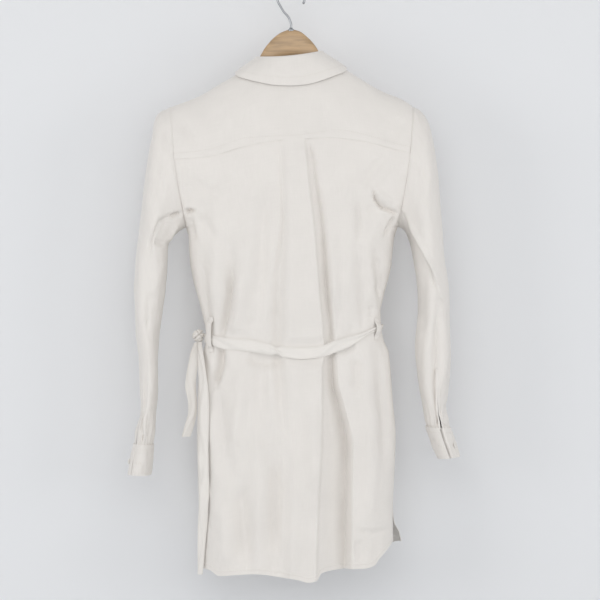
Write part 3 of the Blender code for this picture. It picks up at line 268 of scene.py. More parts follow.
BACK_CREASES = (
    Crease(((182, 398), (177, 392), (166, 391)), 3.2, -6.5),
    Crease(((171, 402), (166, 440)), 4.5, -3.0, 1.5),
    Crease(((-139, 352), (-143, 372), (-154, 386), (-172, 393), (-190, 400)), 4, -5.0, 0.6),
    Crease(((-142, 356), (-158, 372), (-176, 380)), 8, 2.6),
    Crease(((-178, 400), (-170, 416), (-161, 434)), 3.5, -4.2),
    Crease(((101, 452), (101, 526)), 7, -4.0, 1.6),
    Crease(((100, 500), (103, 540), (108, 568), (119, 612)), 3.2, -6.5, 2.6),
    Crease(((88, 500), (90, 545), (94, 575), (102, 612)), 8, 3.0),
    Crease(((119, 616), (120, 652), (131, 690)), 5.5, -8.5, 1.6),
    Crease(((12, 647), (46, 648), (78, 640)), 11, -4.5),
    Crease(((-66, 632), (-90, 628), (-112, 618)), 7, -3.0),
    Crease(((41, 352), (45, 402), (52, 507), (58, 580)), 9, -3.4, 1.3),
    Crease(((72, 430), (80, 520), (86, 600)), 11, 2.6),
    Crease(((130, 360), (128, 450), (132, 560)), 14, 2.4),
    Crease(((150, 470), (146, 540), (140, 600)), 9, -3.0),
    Crease(((-153, 300), (-138, 322), (-122, 346)), 8, -2.0, 0.8),
    Crease(((-160, 316), (-140, 345), (-126, 372)), 11, 1.4),
    Crease(((-115, 372), (-117, 440)), 5, -2.6),
    Crease(((-100, 350), (-99, 470), (-96, 560)), 12, 2.4),
    Crease(((-146, 464), (-152, 505), (-155, 545)), 8, -4.6),
    Crease(((-138, 552), (-138, 576)), 6, -2.0),
    Crease(((-80, 548), (-81, 606)), 8, -2.4),
    Crease(((-70, 420), (-74, 500), (-78, 560)), 8, 2.0),
    Crease(((-120, 470), (-124, 560), (-124, 590)), 9, -2.6),
    Crease(((172, 330), (150, 352), (120, 372)), 9, -2.0),
    Crease(((-172, 372), (-150, 388), (-128, 392)), 8, -1.8),
    Crease(((165, 400), (140, 420), (118, 452)), 10, -2.4),
    Crease(((46, 640), (50, 690), (52, 750)), 9, -3.0, 1.4),
    Crease(((84, 650), (88, 720), (100, 800)), 11, 3.0),
    Crease(((128, 680), (118, 770), (104, 860)), 13, -4.2, 1.3),
    Crease(((86, 850), (82, 920), (74, 1004)), 11, -5.6, 1.3),
    Crease(((28, 800), (27, 880), (31, 1000)), 11, -6.4, 0.8),
    Crease(((120, 880), (112, 940), (108, 1002)), 15, 4.2),
    Crease(((54, 760), (56, 880), (53, 1000)), 12, 3.2),
    Crease(((-36, 700), (-40, 830), (-36, 890)), 9, 2.6),
    Crease(((-14, 720), (-12, 790), (-16, 850)), 13, -2.8),
    Crease(((-8, 870), (-4, 950), (-6, 1010)), 10, 2.2),
    Crease(((-132, 690), (-138, 820), (-138, 925)), 17, 4.6),
    Crease(((-112, 640), (-112, 700)), 9, -4.4),
    Crease(((-150, 640), (-158, 740), (-160, 820)), 9, -3.6),
    Crease(((-113, 936), (-140, 940), (-168, 934)), 5, -1.4),
    Crease(((-110, 950), (-122, 990)), 9, -2.6),
    Crease(((34, 928), (31, 986)), 6, 2.4),
    Crease(((146, 760), (142, 860), (146, 960)), 9, -3.0),
)
FRONT_CREASES = (
    Crease(((122, 440), (118, 520), (112, 596)), 11, -5.0),
    Crease(((66, 400), (70, 500), (78, 596)), 11, -4.0),
    Crease(((96, 380), (96, 500), (94, 590)), 12, 3.0),
    Crease(((-70, 420), (-72, 500), (-76, 596)), 11, -4.5),
    Crease(((-98, 380), (-98, 500), (-98, 590)), 12, 3.0),
    Crease(((-124, 430), (-124, 520), (-118, 596)), 11, -5.0),
    Crease(((160, 310), (140, 340), (118, 372)), 9, -3.2),
    Crease(((-160, 312), (-140, 340), (-120, 366)), 9, -3.2),
    Crease(((112, 640), (114, 800), (120, 990)), 14, -6.0),
    Crease(((62, 640), (62, 820), (66, 996)), 13, -5.0),
    Crease(((90, 650), (90, 820), (92, 996)), 13, 3.4),
    Crease(((142, 690), (142, 840), (146, 980)), 12, 3.0),
    Crease(((-66, 640), (-68, 820), (-70, 996)), 14, -6.0),
    Crease(((-96, 650), (-98, 820), (-102, 990)), 13, 3.6),
    Crease(((-122, 640), (-128, 820), (-136, 975)), 14, -6.0),
    Crease(((-156, 700), (-160, 850), (-166, 950)), 13, 3.0),
    Crease(((44, 700), (42, 800)), 10, 2.0),
    Crease(((-44, 720), (-42, 860)), 10, 2.0),
)
YOKE_CREASES = (
    Crease(((190, 232), (168, 262), (150, 286)), 10, -1.8),
    Crease(((-194, 232), (-176, 256), (-158, 272)), 10, -1.8),
    Crease(((120, 190), (108, 230), (104, 268)), 12, 1.2),
    Crease(((-112, 186), (-104, 220), (-100, 256)), 12, 1.2),
    Crease(((70, 210), (62, 240), (60, 266)), 10, -1.1),
    Crease(((-58, 200), (-54, 240), (-54, 258)), 10, -1.0),
)

# Creases of the sleeves: on their back half, then on their front half.
LEFT_SLEEVE_BACK = (
    Crease(((188, 395), (203, 402)), 3.2, -6.0),
    Crease(((196, 399), (221, 410), (236, 440), (242, 470)), 3.4, -3.4, 1.3),
    Crease(((215, 447), (232, 444)), 5, -4.0),
    Crease(((192, 412), (203, 428), (214, 446)), 4.0, 3.2),
    Crease(((206, 404), (220, 424), (226, 446)), 7, -2.4),
    Crease(((234, 526), (241, 560), (246, 600)), 7, -4.4, 1.3),
    Crease(((222, 470), (230, 520), (240, 570)), 8, 3.0),
    Crease(((252, 440), (256, 520), (257, 600)), 8, 2.4),
    Crease(((259, 712), (262, 740), (266, 757)), 3.2, -3.4),
    Crease(((254, 738), (255, 762), (252, 788)), 2.8, -3.6),
    Crease(((249, 742), (250, 768), (247, 788)), 3.0, 2.2),
    Crease(((243, 735), (243, 770), (240, 790)), 3.4, -2.4),
    Crease(((244, 640), (247, 690), (251, 736)), 8, -3.0),
    Crease(((236, 610), (238, 660), (240, 720)), 7, 2.4),
    Crease(((226, 250), (232, 300), (238, 350)), 9, 2.0),
    Crease(((214, 290), (222, 340), (228, 385)), 9, -2.6),
)
RIGHT_SLEEVE_BACK = (
    Crease(((-192, 398), (-206, 432), (-222, 464), (-239, 500), (-256, 536)), 1.9, -6.0, 8.0),
    Crease(((-198, 400), (-212, 432), (-228, 464), (-246, 502)), 4, 3.4),
    Crease(((-176, 398), (-171, 418), (-161, 434)), 6, -3.0),
    Crease(((-252, 548), (-249, 612), (-244, 690), (-247, 760)), 6.5, -5.2, 1.2),
    Crease(((-262, 560), (-262, 640), (-258, 700)), 7, 3.0),
    Crease(((-256, 728), (-250, 748), (-247, 763)), 3.2, -3.8),
    Crease(((-256, 756), (-270, 761)), 3, -3.6),
    Crease(((-266, 720), (-264, 746)), 3.4, -3.2),
    Crease(((-232, 600), (-230, 660), (-233, 720)), 7, 2.8),
    Crease(((-224, 500), (-222, 560), (-224, 600)), 8, -3.0),
    Crease(((-228, 250), (-236, 300), (-241, 350)), 9, 2.0),
    Crease(((-222, 300), (-226, 350), (-228, 385)), 9, -2.6),
)
LEFT_SLEEVE_FRONT = (
    Crease(((212, 300), (222, 360), (230, 420)), 9, -3.6),
    Crease(((226, 470), (238, 520), (246, 580)), 8, -4.4),
    Crease(((252, 560), (246, 640), (240, 700)), 8, 3.0),
    Crease(((240, 640), (246, 700), (252, 760)), 7, -3.6),
)
RIGHT_SLEEVE_FRONT = (
    Crease(((-214, 300), (-224, 360), (-232, 420)), 9, -3.6),
    Crease(((-226, 460), (-240, 520), (-250, 590)), 8, -4.6),
    Crease(((-262, 560), (-256, 640), (-250, 700)), 8, 3.0),
    Crease(((-240, 640), (-246, 700), (-252, 756)), 7, -3.6),
)


def through(rows: tuple, key: str, value: str, at: np.ndarray) -> np.ndarray:
    """Read a table as a smooth curve that doesn't overshoot its rows.

    Args:
        rows: The table's rows, in rising order of the key.
        key: Column to look up by.
        value: Column to read.
        at: Places to read at.

    Returns:
        The column's value at each place.
    """
    xs = np.array([getattr(row, key) for row in rows], float)
    ys = np.array([getattr(row, value) for row in rows], float)
    at = np.clip(at, xs[0], xs[-1])
    step = np.diff(xs)
    slope = np.diff(ys) / step
    product = slope[:-1] * slope[1:]
    total = np.where(product > 0, slope[:-1] + slope[1:], 1.0)
    tangent = np.concatenate([slope[:1], np.where(product > 0, 2 * product / total, 0.0), slope[-1:]])
    k = np.clip(np.searchsorted(xs, at, side="right") - 1, 0, len(step) - 1)
    s = (at - xs[k]) / step[k]
    ends = (1 + 2 * s) * (1 - s) ** 2 * ys[k] + s * s * (3 - 2 * s) * ys[k + 1]
    return ends + step[k] * (s * (1 - s) ** 2 * tangent[k] + s * s * (s - 1) * tangent[k + 1])


def rise(value: np.ndarray) -> np.ndarray:
    """Smooth step from 0 to 1."""
    value = np.clip(value, 0.0, 1.0)
    return value * value * (3 - 2 * value)


def unit(vectors: np.ndarray) -> np.ndarray:
    """Scale vectors to length one."""
    return vectors / np.maximum(np.linalg.norm(vectors, axis=-1, keepdims=True), 1e-9)


def grid_normals(points: np.ndarray, closed: bool = False) -> np.ndarray:
    """Unit normals of a grid of points.

    Args:
        points: Grid of points, rows by columns by 3.
        closed: True if the last column lies on the first.

    Returns:
        A normal for each point.
    """
    down = np.gradient(points, axis=0)
    if closed:
        ring = points[:, :-1]
        across = np.roll(ring, -1, axis=1) - np.roll(ring, 1, axis=1)
        across = np.concatenate([across, across[:, :1]], axis=1)
    else:
        across = np.gradient(points, axis=1)
    return unit(np.cross(across, down))


def facing(normals: np.ndarray, outward: np.ndarray) -> np.ndarray:
    """Turn normals so that they point to the outward side."""
    turn = np.sign(np.sum(normals * outward, axis=-1, keepdims=True))
    return normals * np.where(turn == 0, 1.0, turn)


def levels(*zones: tuple[int, float]) -> np.ndarray:
    """Row shares through whole-number zones.

    Args:
        zones: A row count and a closing power for each zone. A power over 1 crowds the rows
            at the zone's end, and one under 1 at its start.

    Returns:
        Rising shares from 0 to the number of zones.
    """
    shares = [[0.0]]
    for zone, (count, power) in enumerate(zones):
        part = np.arange(1, count + 1) / count
        shares.append(zone + (1 - (1 - part) ** power if power > 1 else part ** (1 / power)))
    return np.concatenate(shares)


def zone_down(share: np.ndarray, tops: tuple) -> np.ndarray:
    """Height of each row of a panel.

    Args:
        share: Row shares, from 0 to the number of zones.
        tops: The limits of the zones, each a number per column.

    Returns:
        Heights, rows by columns.
    """
    zone = np.clip(np.floor(share).astype(int), 0, len(tops) - 2)
    tops = np.stack(np.broadcast_arrays(*tops))
    part = (share - zone)[:, None]
    return tops[zone] * (1 - part) + tops[zone + 1] * part


def finer(points: np.ndarray, steps: int) -> np.ndarray:
    """Put more rows between the rows of a grid, on smooth curves through them.

    Args:
        points: Rows of anything that can be added and scaled.
        steps: Steps from each row to the next.

    Returns:
        The finer rows.
    """
    padded = np.concatenate([2 * points[:1] - points[1:2], points, 2 * points[-1:] - points[-2:-1]])
    s = (np.arange(steps) / steps).reshape((-1,) + (1,) * (points.ndim - 1))
    rows = []
    for k in range(len(points) - 1):
        a, b, c, d = padded[k], padded[k + 1], padded[k + 2], padded[k + 3]
        rows.append(0.5 * (2 * b + (c - a) * s + (2 * a - 5 * b + 4 * c - d) * s**2
                           + (3 * b - 3 * c + d - a) * s**3))
    return np.concatenate(rows + [points[-1:]])


def crease_relief(creases: tuple[Crease, ...], x: np.ndarray, down: np.ndarray) -> np.ndarray:
    """Sum of the creases at each place.

    Args:
        creases: The creases of this surface.
        x: Places across.
        down: Places down.

    Returns:
        Height of the surface over its plain form, in millimetres.
    """
    total = np.zeros(np.shape(x))
    for crease in creases:
        line = np.array(crease.line)
        lengths = np.hypot(*np.diff(line, axis=0).T)
        run = np.concatenate([[0.0], np.cumsum(lengths)]) / lengths.sum()
        nearest = np.full(np.shape(x), np.inf)
        side = np.zeros(np.shape(x))
        along = np.zeros(np.shape(x))
        for k, length in enumerate(lengths):
            step = (line[k + 1] - line[k]) / length
            ahead = (x - line[k, 0]) * step[0] + (down - line[k, 1]) * step[1]
            off = (x - line[k, 0]) * step[1] - (down - line[k, 1]) * step[0]
            beyond = ahead - np.clip(ahead, 0, length)
            away = np.hypot(off, beyond)
            closer = away < nearest
            nearest = np.where(closer, away, nearest)
            side = np.where(closer, off, side)
            share = run[k] + (run[k + 1] - run[k]) * np.clip(ahead / length, 0, 1)
            along = np.where(closer, share, along)
        width = np.where(side > 0, crease.width * crease.lean, crease.width)
        taper = 0.3 + 0.7 * rise(np.minimum(along, 1 - along) * 4)
        total = total + crease.height * taper * np.exp(-((nearest / width) ** 2))
    return total


def crumple(u: np.ndarray, v: np.ndarray, seed: int, amount: float, upright: float = 1.8) -> np.ndarray:
    """Small soft wrinkles of washed cotton.

    Args:
        u: Places across the cloth, in millimetres.
        v: Places down the cloth.
        seed: Start of the random numbers, so that pieces differ.
        amount: Greatest height of the largest wrinkles.
        upright: How much longer the wrinkles are down the cloth than across it.

    Returns:
        Height at each place.
    """
    draw = np.random.default_rng(seed)
    total = np.zeros(np.shape(u))
    for wave, share in ((70.0, 0.42), (38.0, 0.3), (21.0, 0.19), (12.0, 0.11)):
        for _ in range(5):
            angle = draw.normal(0.0, 0.6)
            turn = draw.uniform(0, 2 * math.pi, 3)
            bend = draw.uniform(0.6, 1.4)
            p = (u * math.cos(angle) + v / upright * math.sin(angle)) * 2 * math.pi / wave
            q = (v / upright * math.cos(angle) - u * math.sin(angle)) * 2 * math.pi / (wave * 2.3)
            total = total + share / 2 * np.sin(p + bend * np.sin(q + turn[1]) + turn[0]) * (
                0.55 + 0.45 * np.sin(0.7 * q + 0.31 * p + turn[2]))
    return amount * total


class DressForm:
    """The plain form that every piece of the dress lies on, from its tables."""

    @staticmethod
    def shoulder(x: np.ndarray) -> np.ndarray:
        """Height of the shoulder's ridge at a place across."""
        return through(SHOULDER_LINE, "x", "down", x)

    @staticmethod
    def armhole_x(side: int, down: np.ndarray) -> np.ndarray:
        """Sideways place of the armhole seam at a height."""
        share = np.clip((down - ARM_TOP) / (ARM_BOTTOM - ARM_TOP), 0.0, 1.0)
        straight = ARM_TOP_X[side] + (ARM_BOTTOM_X[side] - ARM_TOP_X[side]) * share
        return straight + side * 4 * ARM_BOW * share * (1 - share)

    @classmethod
    def side_x(cls, side: int, down: np.ndarray, face: int) -> np.ndarray:
        """Sideways place of a panel's edge: the armhole above, the side seam below."""
        column = {1: "left", -1: "right"}[side] + ("" if face > 0 else "_front")
        below = through(SECTIONS, "down", column, down)
        return np.where(down < ARM_BOTTOM, cls.armhole_x(side, down), below)

    @staticmethod
    def side_depth(down: np.ndarray) -> np.ndarray:
        """Half depth of a panel's edge before the shoulder rounds it off."""
        share = np.clip((down - ARM_MIDDLE) / (ARM_BOTTOM - ARM_MIDDLE), 0.0, 1.0)
        vent = rise((down - VENT_TOP) / (VENT_BOTTOM - VENT_TOP)) * VENT_OPENING
        return np.where(down < ARM_BOTTOM, ARM_DEPTH * np.sqrt(1 - share**2), vent)

    @classmethod
    def section_depth(cls, x: np.ndarray, down: np.ndarray, face: int) -> np.ndarray:
        """Half depth of the dress at a place, before the shoulder rounds it off."""
        left = cls.side_x(1, down, face)
        right = cls.side_x(-1, down, face)
        across = np.clip(np.abs((2 * x - left - right) / (left - right)), 0.0, 1.0)
        edge = cls.side_depth(down)
        middle = through(SECTIONS, "down", "back" if face > 0 else "front", down)
        power = 1 + (SIDE_POWER - 1) * (1 - np.clip(edge / ARM_DEPTH, 0, 1))
        return edge + (middle - edge) * (1 - across**SIDE_POWER) ** (1 / power)

    @classmethod
    def soft_depth(cls, x: np.ndarray, down: np.ndarray, face: int) -> np.ndarray:
        """Half depth with the turn at the underarm smoothed, except at the panel's edges."""
        left = cls.side_x(1, down, face)
        right = cls.side_x(-1, down, face)
        inside = rise(np.minimum(left - x, x - right) / UNDERARM_SPREAD)
        shifts = np.linspace(-UNDERARM_SPREAD, UNDERARM_SPREAD, 9)
        spread = sum(cls.section_depth(x, down + shift, face) for shift in shifts) / len(shifts)
        return cls.section_depth(x, down, face) * (1 - inside) + spread * inside

    @classmethod
    def body(cls, x: np.ndarray, down: np.ndarray, face: int) -> np.ndarray:
        """Point of the plain surface at a place of the back (face 1) or front (face -1)."""
        share = np.clip((ARM_MIDDLE - down) / (ARM_MIDDLE - cls.shoulder(x)), 0.0, 1.0)
        depth = cls.soft_depth(x, down, face) * np.sqrt(1 - share**2)
        return np.stack(np.broadcast_arrays(x, face * depth, -down), axis=-1)

    @classmethod
    def over_shoulder(cls, x: np.ndarray, angle: np.ndarray) -> np.ndarray:
        """Point at an angle round the shoulder: 0 on its ridge, positive to the back."""
        down = ARM_MIDDLE - (ARM_MIDDLE - cls.shoulder(x)) * np.cos(angle)
        depth = np.where(angle > 0, cls.soft_depth(x, down, 1), cls.soft_depth(x, down, -1))
        return np.stack(np.broadcast_arrays(x, depth * np.sin(angle), -down), axis=-1)

    @classmethod
    def shoulder_angle(cls, x: np.ndarray, down: np.ndarray, face: int) -> np.ndarray:
        """Angle round the shoulder at which the surface reaches a height."""
        top = cls.shoulder(x)
        return face * np.arccos(np.clip((ARM_MIDDLE - down) / (ARM_MIDDLE - top), -1, 1))

    @classmethod
    def shoulder_normal(cls, x: np.ndarray, angle: np.ndarray) -> np.ndarray:
        """Outward direction of the plain surface over the shoulder."""
        along = cls.over_shoulder(x, angle + 0.02) - cls.over_shoulder(x, angle - 0.02)
        across = cls.over_shoulder(x + 0.5, angle) - cls.over_shoulder(x - 0.5, angle)
        return unit(np.cross(across, along))

    @staticmethod
    def armhole_normal(side: int, down: np.ndarray, depth: np.ndarray) -> np.ndarray:
        """Direction across the wall at the armhole, shared by the body and the sleeve."""
        height = ARM_MIDDLE - down
        share = np.clip(-height / (ARM_MIDDLE - ARM_TOP), 0, 1)
        y = depth / ARM_DEPTH**2
        z = height / (ARM_MIDDLE - ARM_TOP) ** 2
        scale = np.sqrt(y**2 + z**2)
        return unit(np.stack([side * share**4, y / scale, z / scale], axis=-1))

    @classmethod
    def neck_seam(cls, turn: np.ndarray) -> tuple[np.ndarray, np.ndarray]:
        """Neck seam by its turn round the neck.

        Args:
            turn: 0 at the centre back, pi at the centre front.

        Returns:
            The place across and the angle round the shoulder.
        """
        quarter = math.pi / 2
        angle = np.where(np.cos(turn) > 0, NECK_BACK_ANGLE, NECK_FRONT_ANGLE) * np.cos(turn)
        behind = np.sin(np.abs(turn) / YOKE_TURN * quarter)
        ahead = np.cos((np.abs(turn) - YOKE_TURN) / (math.pi - YOKE_TURN) * quarter)
        reach = np.where(np.abs(turn) <= YOKE_TURN, behind, ahead)
        return np.sign(turn) * NECK_HALF_WIDTH * reach, angle

    @staticmethod
    def belt_middle(table: tuple, x: np.ndarray) -> np.ndarray:
        """Height of the belt's middle line at a place."""
        return 0.5 * (through(table, "x", "top", x) + through(table, "x", "bottom", x))


@dataclass(frozen=True)
class ClothGrid:
    """A grid of points on a piece of cloth, its outward directions and its flat places."""

    points: np.ndarray
    outward: np.ndarray
    closed: bool = False

    @property
    def flat(self) -> np.ndarray:
        """Places across and down the cloth in millimetres, for the weave and the wrinkles."""
        across = np.linalg.norm(np.diff(self.points, axis=1), axis=-1)
        down = np.linalg.norm(np.diff(self.points, axis=0), axis=-1)
        u = np.concatenate([np.zeros((len(across), 1)), np.cumsum(across, axis=1)], axis=1)
        v = np.concatenate([np.zeros((1, down.shape[1])), np.cumsum(down, axis=0)], axis=0)
        middle = u.shape[1] // 2
        return np.stack([u - u[:, middle:middle + 1], v], axis=-1)

    @property
    def area(self) -> float:
        """Area of the cloth in square metres."""
        a = np.diff(self.points, axis=0)[:, :-1]
        b = np.diff(self.points, axis=1)[:-1]
        return float(np.linalg.norm(np.cross(a, b), axis=-1).sum()) * MM * MM

    def raised(self, height: np.ndarray) -> "ClothGrid":
        """The grid lifted along its outward directions, with new directions."""
        points = self.points + self.outward * np.broadcast_to(height, self.points.shape[:2])[..., None]
        return ClothGrid(points, facing(grid_normals(points, self.closed), self.outward), self.closed)

    def build(self, name: str, finish: "CottonFinish", wall: float = WALL) -> bpy.types.Object:
        """Close the grid and its copy one wall inside it into a thin shell.

        Args:
            name: Name of the piece.
            finish: Its finish.
            wall: Thickness of the cloth in millimetres.

        Returns:
            The piece's object.
        """
        rows, columns = self.points.shape[:2]
        bm = bmesh.new()
        bmesh.ops.create_grid(bm, x_segments=columns - 1, y_segments=rows - 1, size=1)
        place = bm.verts.layers.int.new("place")
        for vert in bm.verts:
            row = round((vert.co.y + 1) / 2 * (rows - 1))
            column = round((vert.co.x + 1) / 2 * (columns - 1))
            vert[place] = row * columns + column
            vert.co = self.points[row, column] * MM
        hidden = self.points - self.outward * wall
        if self.closed:
            ends = [v for v in bm.verts if v[place] % columns in (0, columns - 1)]
            bmesh.ops.remove_doubles(bm, verts=ends, dist=1e-6)
        flat = self.flat * MM
        cloth = bm.loops.layers.uv.new("cloth")
        for face in bm.faces:
            corners = [divmod(loop.vert[place], columns) for loop in face.loops]
            far = max(column for _, column in corners)
            for loop, (row, column) in zip(face.loops, corners):
                if far - column > columns // 2:
                    column = columns - 1
                loop[cloth].uv = flat[row, column]
        made = bmesh.ops.extrude_face_region(bm, geom=bm.faces[:], use_keep_orig=True)
        for item in made["geom"]:
            if isinstance(item, bmesh.types.BMVert):
                row, column = divmod(item[place], columns)
                item.co = hidden[row, column] * MM
        return add_piece(name, bm, finish)


def add_piece(name: str, bm: bmesh.types.BMesh, finish: "Finish", sharp: float = 50.0) -> bpy.types.Object:
    """Make an object from a bmesh, with its finish, riding on the dress's one body.

    Args:
        name: Name of the piece.
        bm: Its mesh, which is freed.
        finish: Its finish.
        sharp: Angle in degrees over which an edge stays crisp.

    Returns:
        The piece's object.
    """
    bmesh.ops.recalc_face_normals(bm, faces=bm.faces)
    mesh = bpy.data.meshes.new(name)
    bm.to_mesh(mesh)
    bm.free()
    mesh.materials.append(finish.material())
    mesh.shade_smooth()
    mesh.set_sharp_from_angle(angle=math.radians(sharp))
    piece = bpy.data.objects.new(name, mesh)
    bpy.context.scene.collection.objects.link(piece)
    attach(piece, BODY)
    log.info("%s: %d faces", name, len(mesh.polygons))
    return piece


def new_group(name: str, inputs: dict[str, float], outputs: tuple[str, ...]) -> bpy.types.NodeTree:
    """Start a shader node group.

    Args:
        name: Its name.
        inputs: Number inputs with their usual values. "Vector" is added before them.
        outputs: Names of its number outputs.

    Returns:
        The group, with its input and output nodes named "in" and "out".
    """
    group = bpy.data.node_groups.new(name, "ShaderNodeTree")
    group.interface.new_socket("Vector", in_out="INPUT", socket_type="NodeSocketVector")
    for key, value in inputs.items():
        made = group.interface.new_socket(key, in_out="INPUT", socket_type="NodeSocketFloat")
        made.default_value = value
    for key in outputs:
        group.interface.new_socket(key, in_out="OUTPUT", socket_type="NodeSocketFloat")
    group.nodes.new("NodeGroupInput").name = "in"
    group.nodes.new("NodeGroupOutput").name = "out"
    return group


class Wiring:
    """Short words for placing and joining nodes in one tree."""

    def __init__(self, tree: bpy.types.NodeTree) -> None:
        """Keep the tree."""
        self.tree = tree

    def plug(self, socket: bpy.types.NodeSocket, value: object) -> None:
        """Give a socket a value, or join another socket to it."""
        if isinstance(value, bpy.types.NodeSocket):
            self.tree.links.new(value, socket)
        else:
            socket.default_value = value

    def feed(self, made: bpy.types.Node, **settings: object) -> bpy.types.Node:
        """Set a node up.

        Args:
            made: The node.
            settings: Properties to set, and sockets by name with spaces as underscores.

        Returns:
            The node.
        """
        for key, value in settings.items():
            if hasattr(made, key):
                setattr(made, key, value)
            else:
                self.plug(made.inputs[key.replace("_", " ")], value)
        return made

    def node(self, kind: str, **settings: object) -> bpy.types.Node:
        """Add a node by its type without "ShaderNode", and set it up."""
        return self.feed(self.tree.nodes.new("ShaderNode" + kind), **settings)

    def sums(self, operation: str, a: object, b: object = 0.0) -> bpy.types.NodeSocket:
        """Do one sum on two numbers or sockets and return its result's socket."""
        made = self.node("Math", operation=operation)
        for socket, value in zip(made.inputs, (a, b)):
            self.plug(socket, value)
        return made.outputs[0]

    def link(self, source: bpy.types.NodeSocket, target: bpy.types.NodeSocket) -> None:
        """Join two sockets."""
        self.tree.links.new(source, target)


def weave_group() -> bpy.types.NodeTree:
    """Plain weave: warp and weft threads of uneven thickness that pass over and under.

    Returns:
        The group. Height is the threads' height and Slub the unevenness of the yarn.
    """
    found = bpy.data.node_groups.get("plain weave")
    if found:
        return found
    group = new_group("plain weave", {"Threads": 1300.0, "Unevenness": 0.5}, ("Height", "Slub"))
    wiring = Wiring(group)
    source = group.nodes["in"].outputs
    parts = wiring.node("SeparateXYZ", Vector=source["Vector"])
    slubs = []
    for stretch in ((900.0, 26.0, 1.0), (26.0, 900.0, 1.0)):
        scaled = wiring.node("Mapping", Vector=source["Vector"], Scale=stretch)
        slub = wiring.node("TexNoise", Vector=scaled.outputs[0], Scale=1.0, Detail=2.0)
        slubs.append(slub.outputs["Fac"])
    warp = wiring.sums("SINE", wiring.sums("MULTIPLY", parts.outputs["X"], source["Threads"]))
    weft = wiring.sums("SINE", wiring.sums("MULTIPLY", parts.outputs["Y"], source["Threads"]))
    crossing = wiring.sums("MULTIPLY", warp, weft)
    slub = wiring.sums("ADD", *slubs)
    uneven = wiring.sums("MULTIPLY", wiring.sums("SUBTRACT", slub, 1.0), source["Unevenness"])
    height = wiring.sums("ADD", wiring.sums("MULTIPLY", crossing, 0.35), uneven)
    wiring.link(height, group.nodes["out"].inputs["Height"])
    wiring.link(slub, group.nodes["out"].inputs["Slub"])
    return group


def mottle_group() -> bpy.types.NodeTree:
    """Slow unevenness of a finish.

    Returns:
        The group. Broad varies over centimetres and Fine over millimetres, both about 0.5.
    """
    found = bpy.data.node_groups.get("slow mottle")
    if found:
        return found
    group = new_group("slow mottle", {"Broad scale": 14.0, "Fine scale": 120.0}, ("Broad", "Fine"))
    wiring = Wiring(group)
    source = group.nodes["in"].outputs
    for key, detail in (("Broad", 3.0), ("Fine", 5.0)):
        noise = wiring.node("TexNoise", Vector=source["Vector"], Detail=detail)
        wiring.link(source[f"{key} scale"], noise.inputs["Scale"])
        wiring.link(noise.outputs["Fac"], group.nodes["out"].inputs[key])
    return group


@dataclass(frozen=True)
class Finish:
    """A finish of one colour with what all the finishes share."""

    name: str
    slot: str
    colour: tuple[float, float, float]
    roughness: float
    metallic: float = 0.0
    variation: float = 0.08
    broad: float = 14.0
    fine: float = 120.0
    relief: float = 0.00006

    def material(self) -> bpy.types.Material:
        """Return the finish's material, made once."""
        found = bpy.data.materials.get(self.name)
        if found:
            return found
        made = bpy.data.materials.new(self.name)
        made.use_nodes = True
        self.dress(Wiring(made.node_tree), made.node_tree.nodes["Principled BSDF"])
        return made

    def mottle(self, wiring: Wiring, place: bpy.types.NodeSocket) -> bpy.types.Node:
        """Add this finish's slow unevenness, read at a place."""
        scales = {"Broad_scale": self.broad, "Fine_scale": self.fine}
        return wiring.node("Group", node_tree=mottle_group(), Vector=place, **scales)

    def tone(self, wiring: Wiring, value: object, low: float, high: float) -> bpy.types.NodeSocket:
        """Colour that runs from a darker to a lighter tone of the finish.

        Args:
            wiring: The material's tree.
            value: The number that it follows.
            low: Number up to which it is darkest.
            high: Number from which it is lightest.

        Returns:
            The colour's socket.
        """
        ramp = wiring.node("ValToRGB", Fac=value)
        gains = (1 - self.variation, 1 + self.variation)
        for stop, position, gain in zip(ramp.color_ramp.elements, (low, high), gains):
            stop.position = position
            stop.color = tuple(min(1.0, c * gain) for c in self.colour) + (1.0,)
        return ramp.outputs["Color"]

    def rough(self, wiring: Wiring, value: object, below: float, above: float) -> bpy.types.NodeSocket:
        """Roughness that varies with a number, from a bit below to a bit above the finish's own."""
        ends = {"To_Min": self.roughness - below, "To_Max": self.roughness + above}
        return wiring.node("MapRange", Value=value, **ends).outputs[0]

    def dress(self, wiring: Wiring, shader: bpy.types.Node) -> None:
        """Give the shader a gently mottled colour, roughness and surface.

        Args:
            wiring: The material's tree.
            shader: Its Principled shader.
        """
        mottle = self.mottle(wiring, wiring.node("TexCoord").outputs["Object"])
        fine = mottle.outputs["Fine"]
        blend = wiring.sums("MULTIPLY", wiring.sums("ADD", mottle.outputs["Broad"], fine), 0.5)
        bump = wiring.node("Bump", Height=fine, Distance=self.relief, Strength=0.6)
        wiring.feed(
            shader, Base_Color=self.tone(wiring, blend, 0.3, 0.7), Metallic=self.metallic,
            Roughness=self.rough(wiring, fine, 0.06, 0.06), Normal=bump.outputs[0],
        )


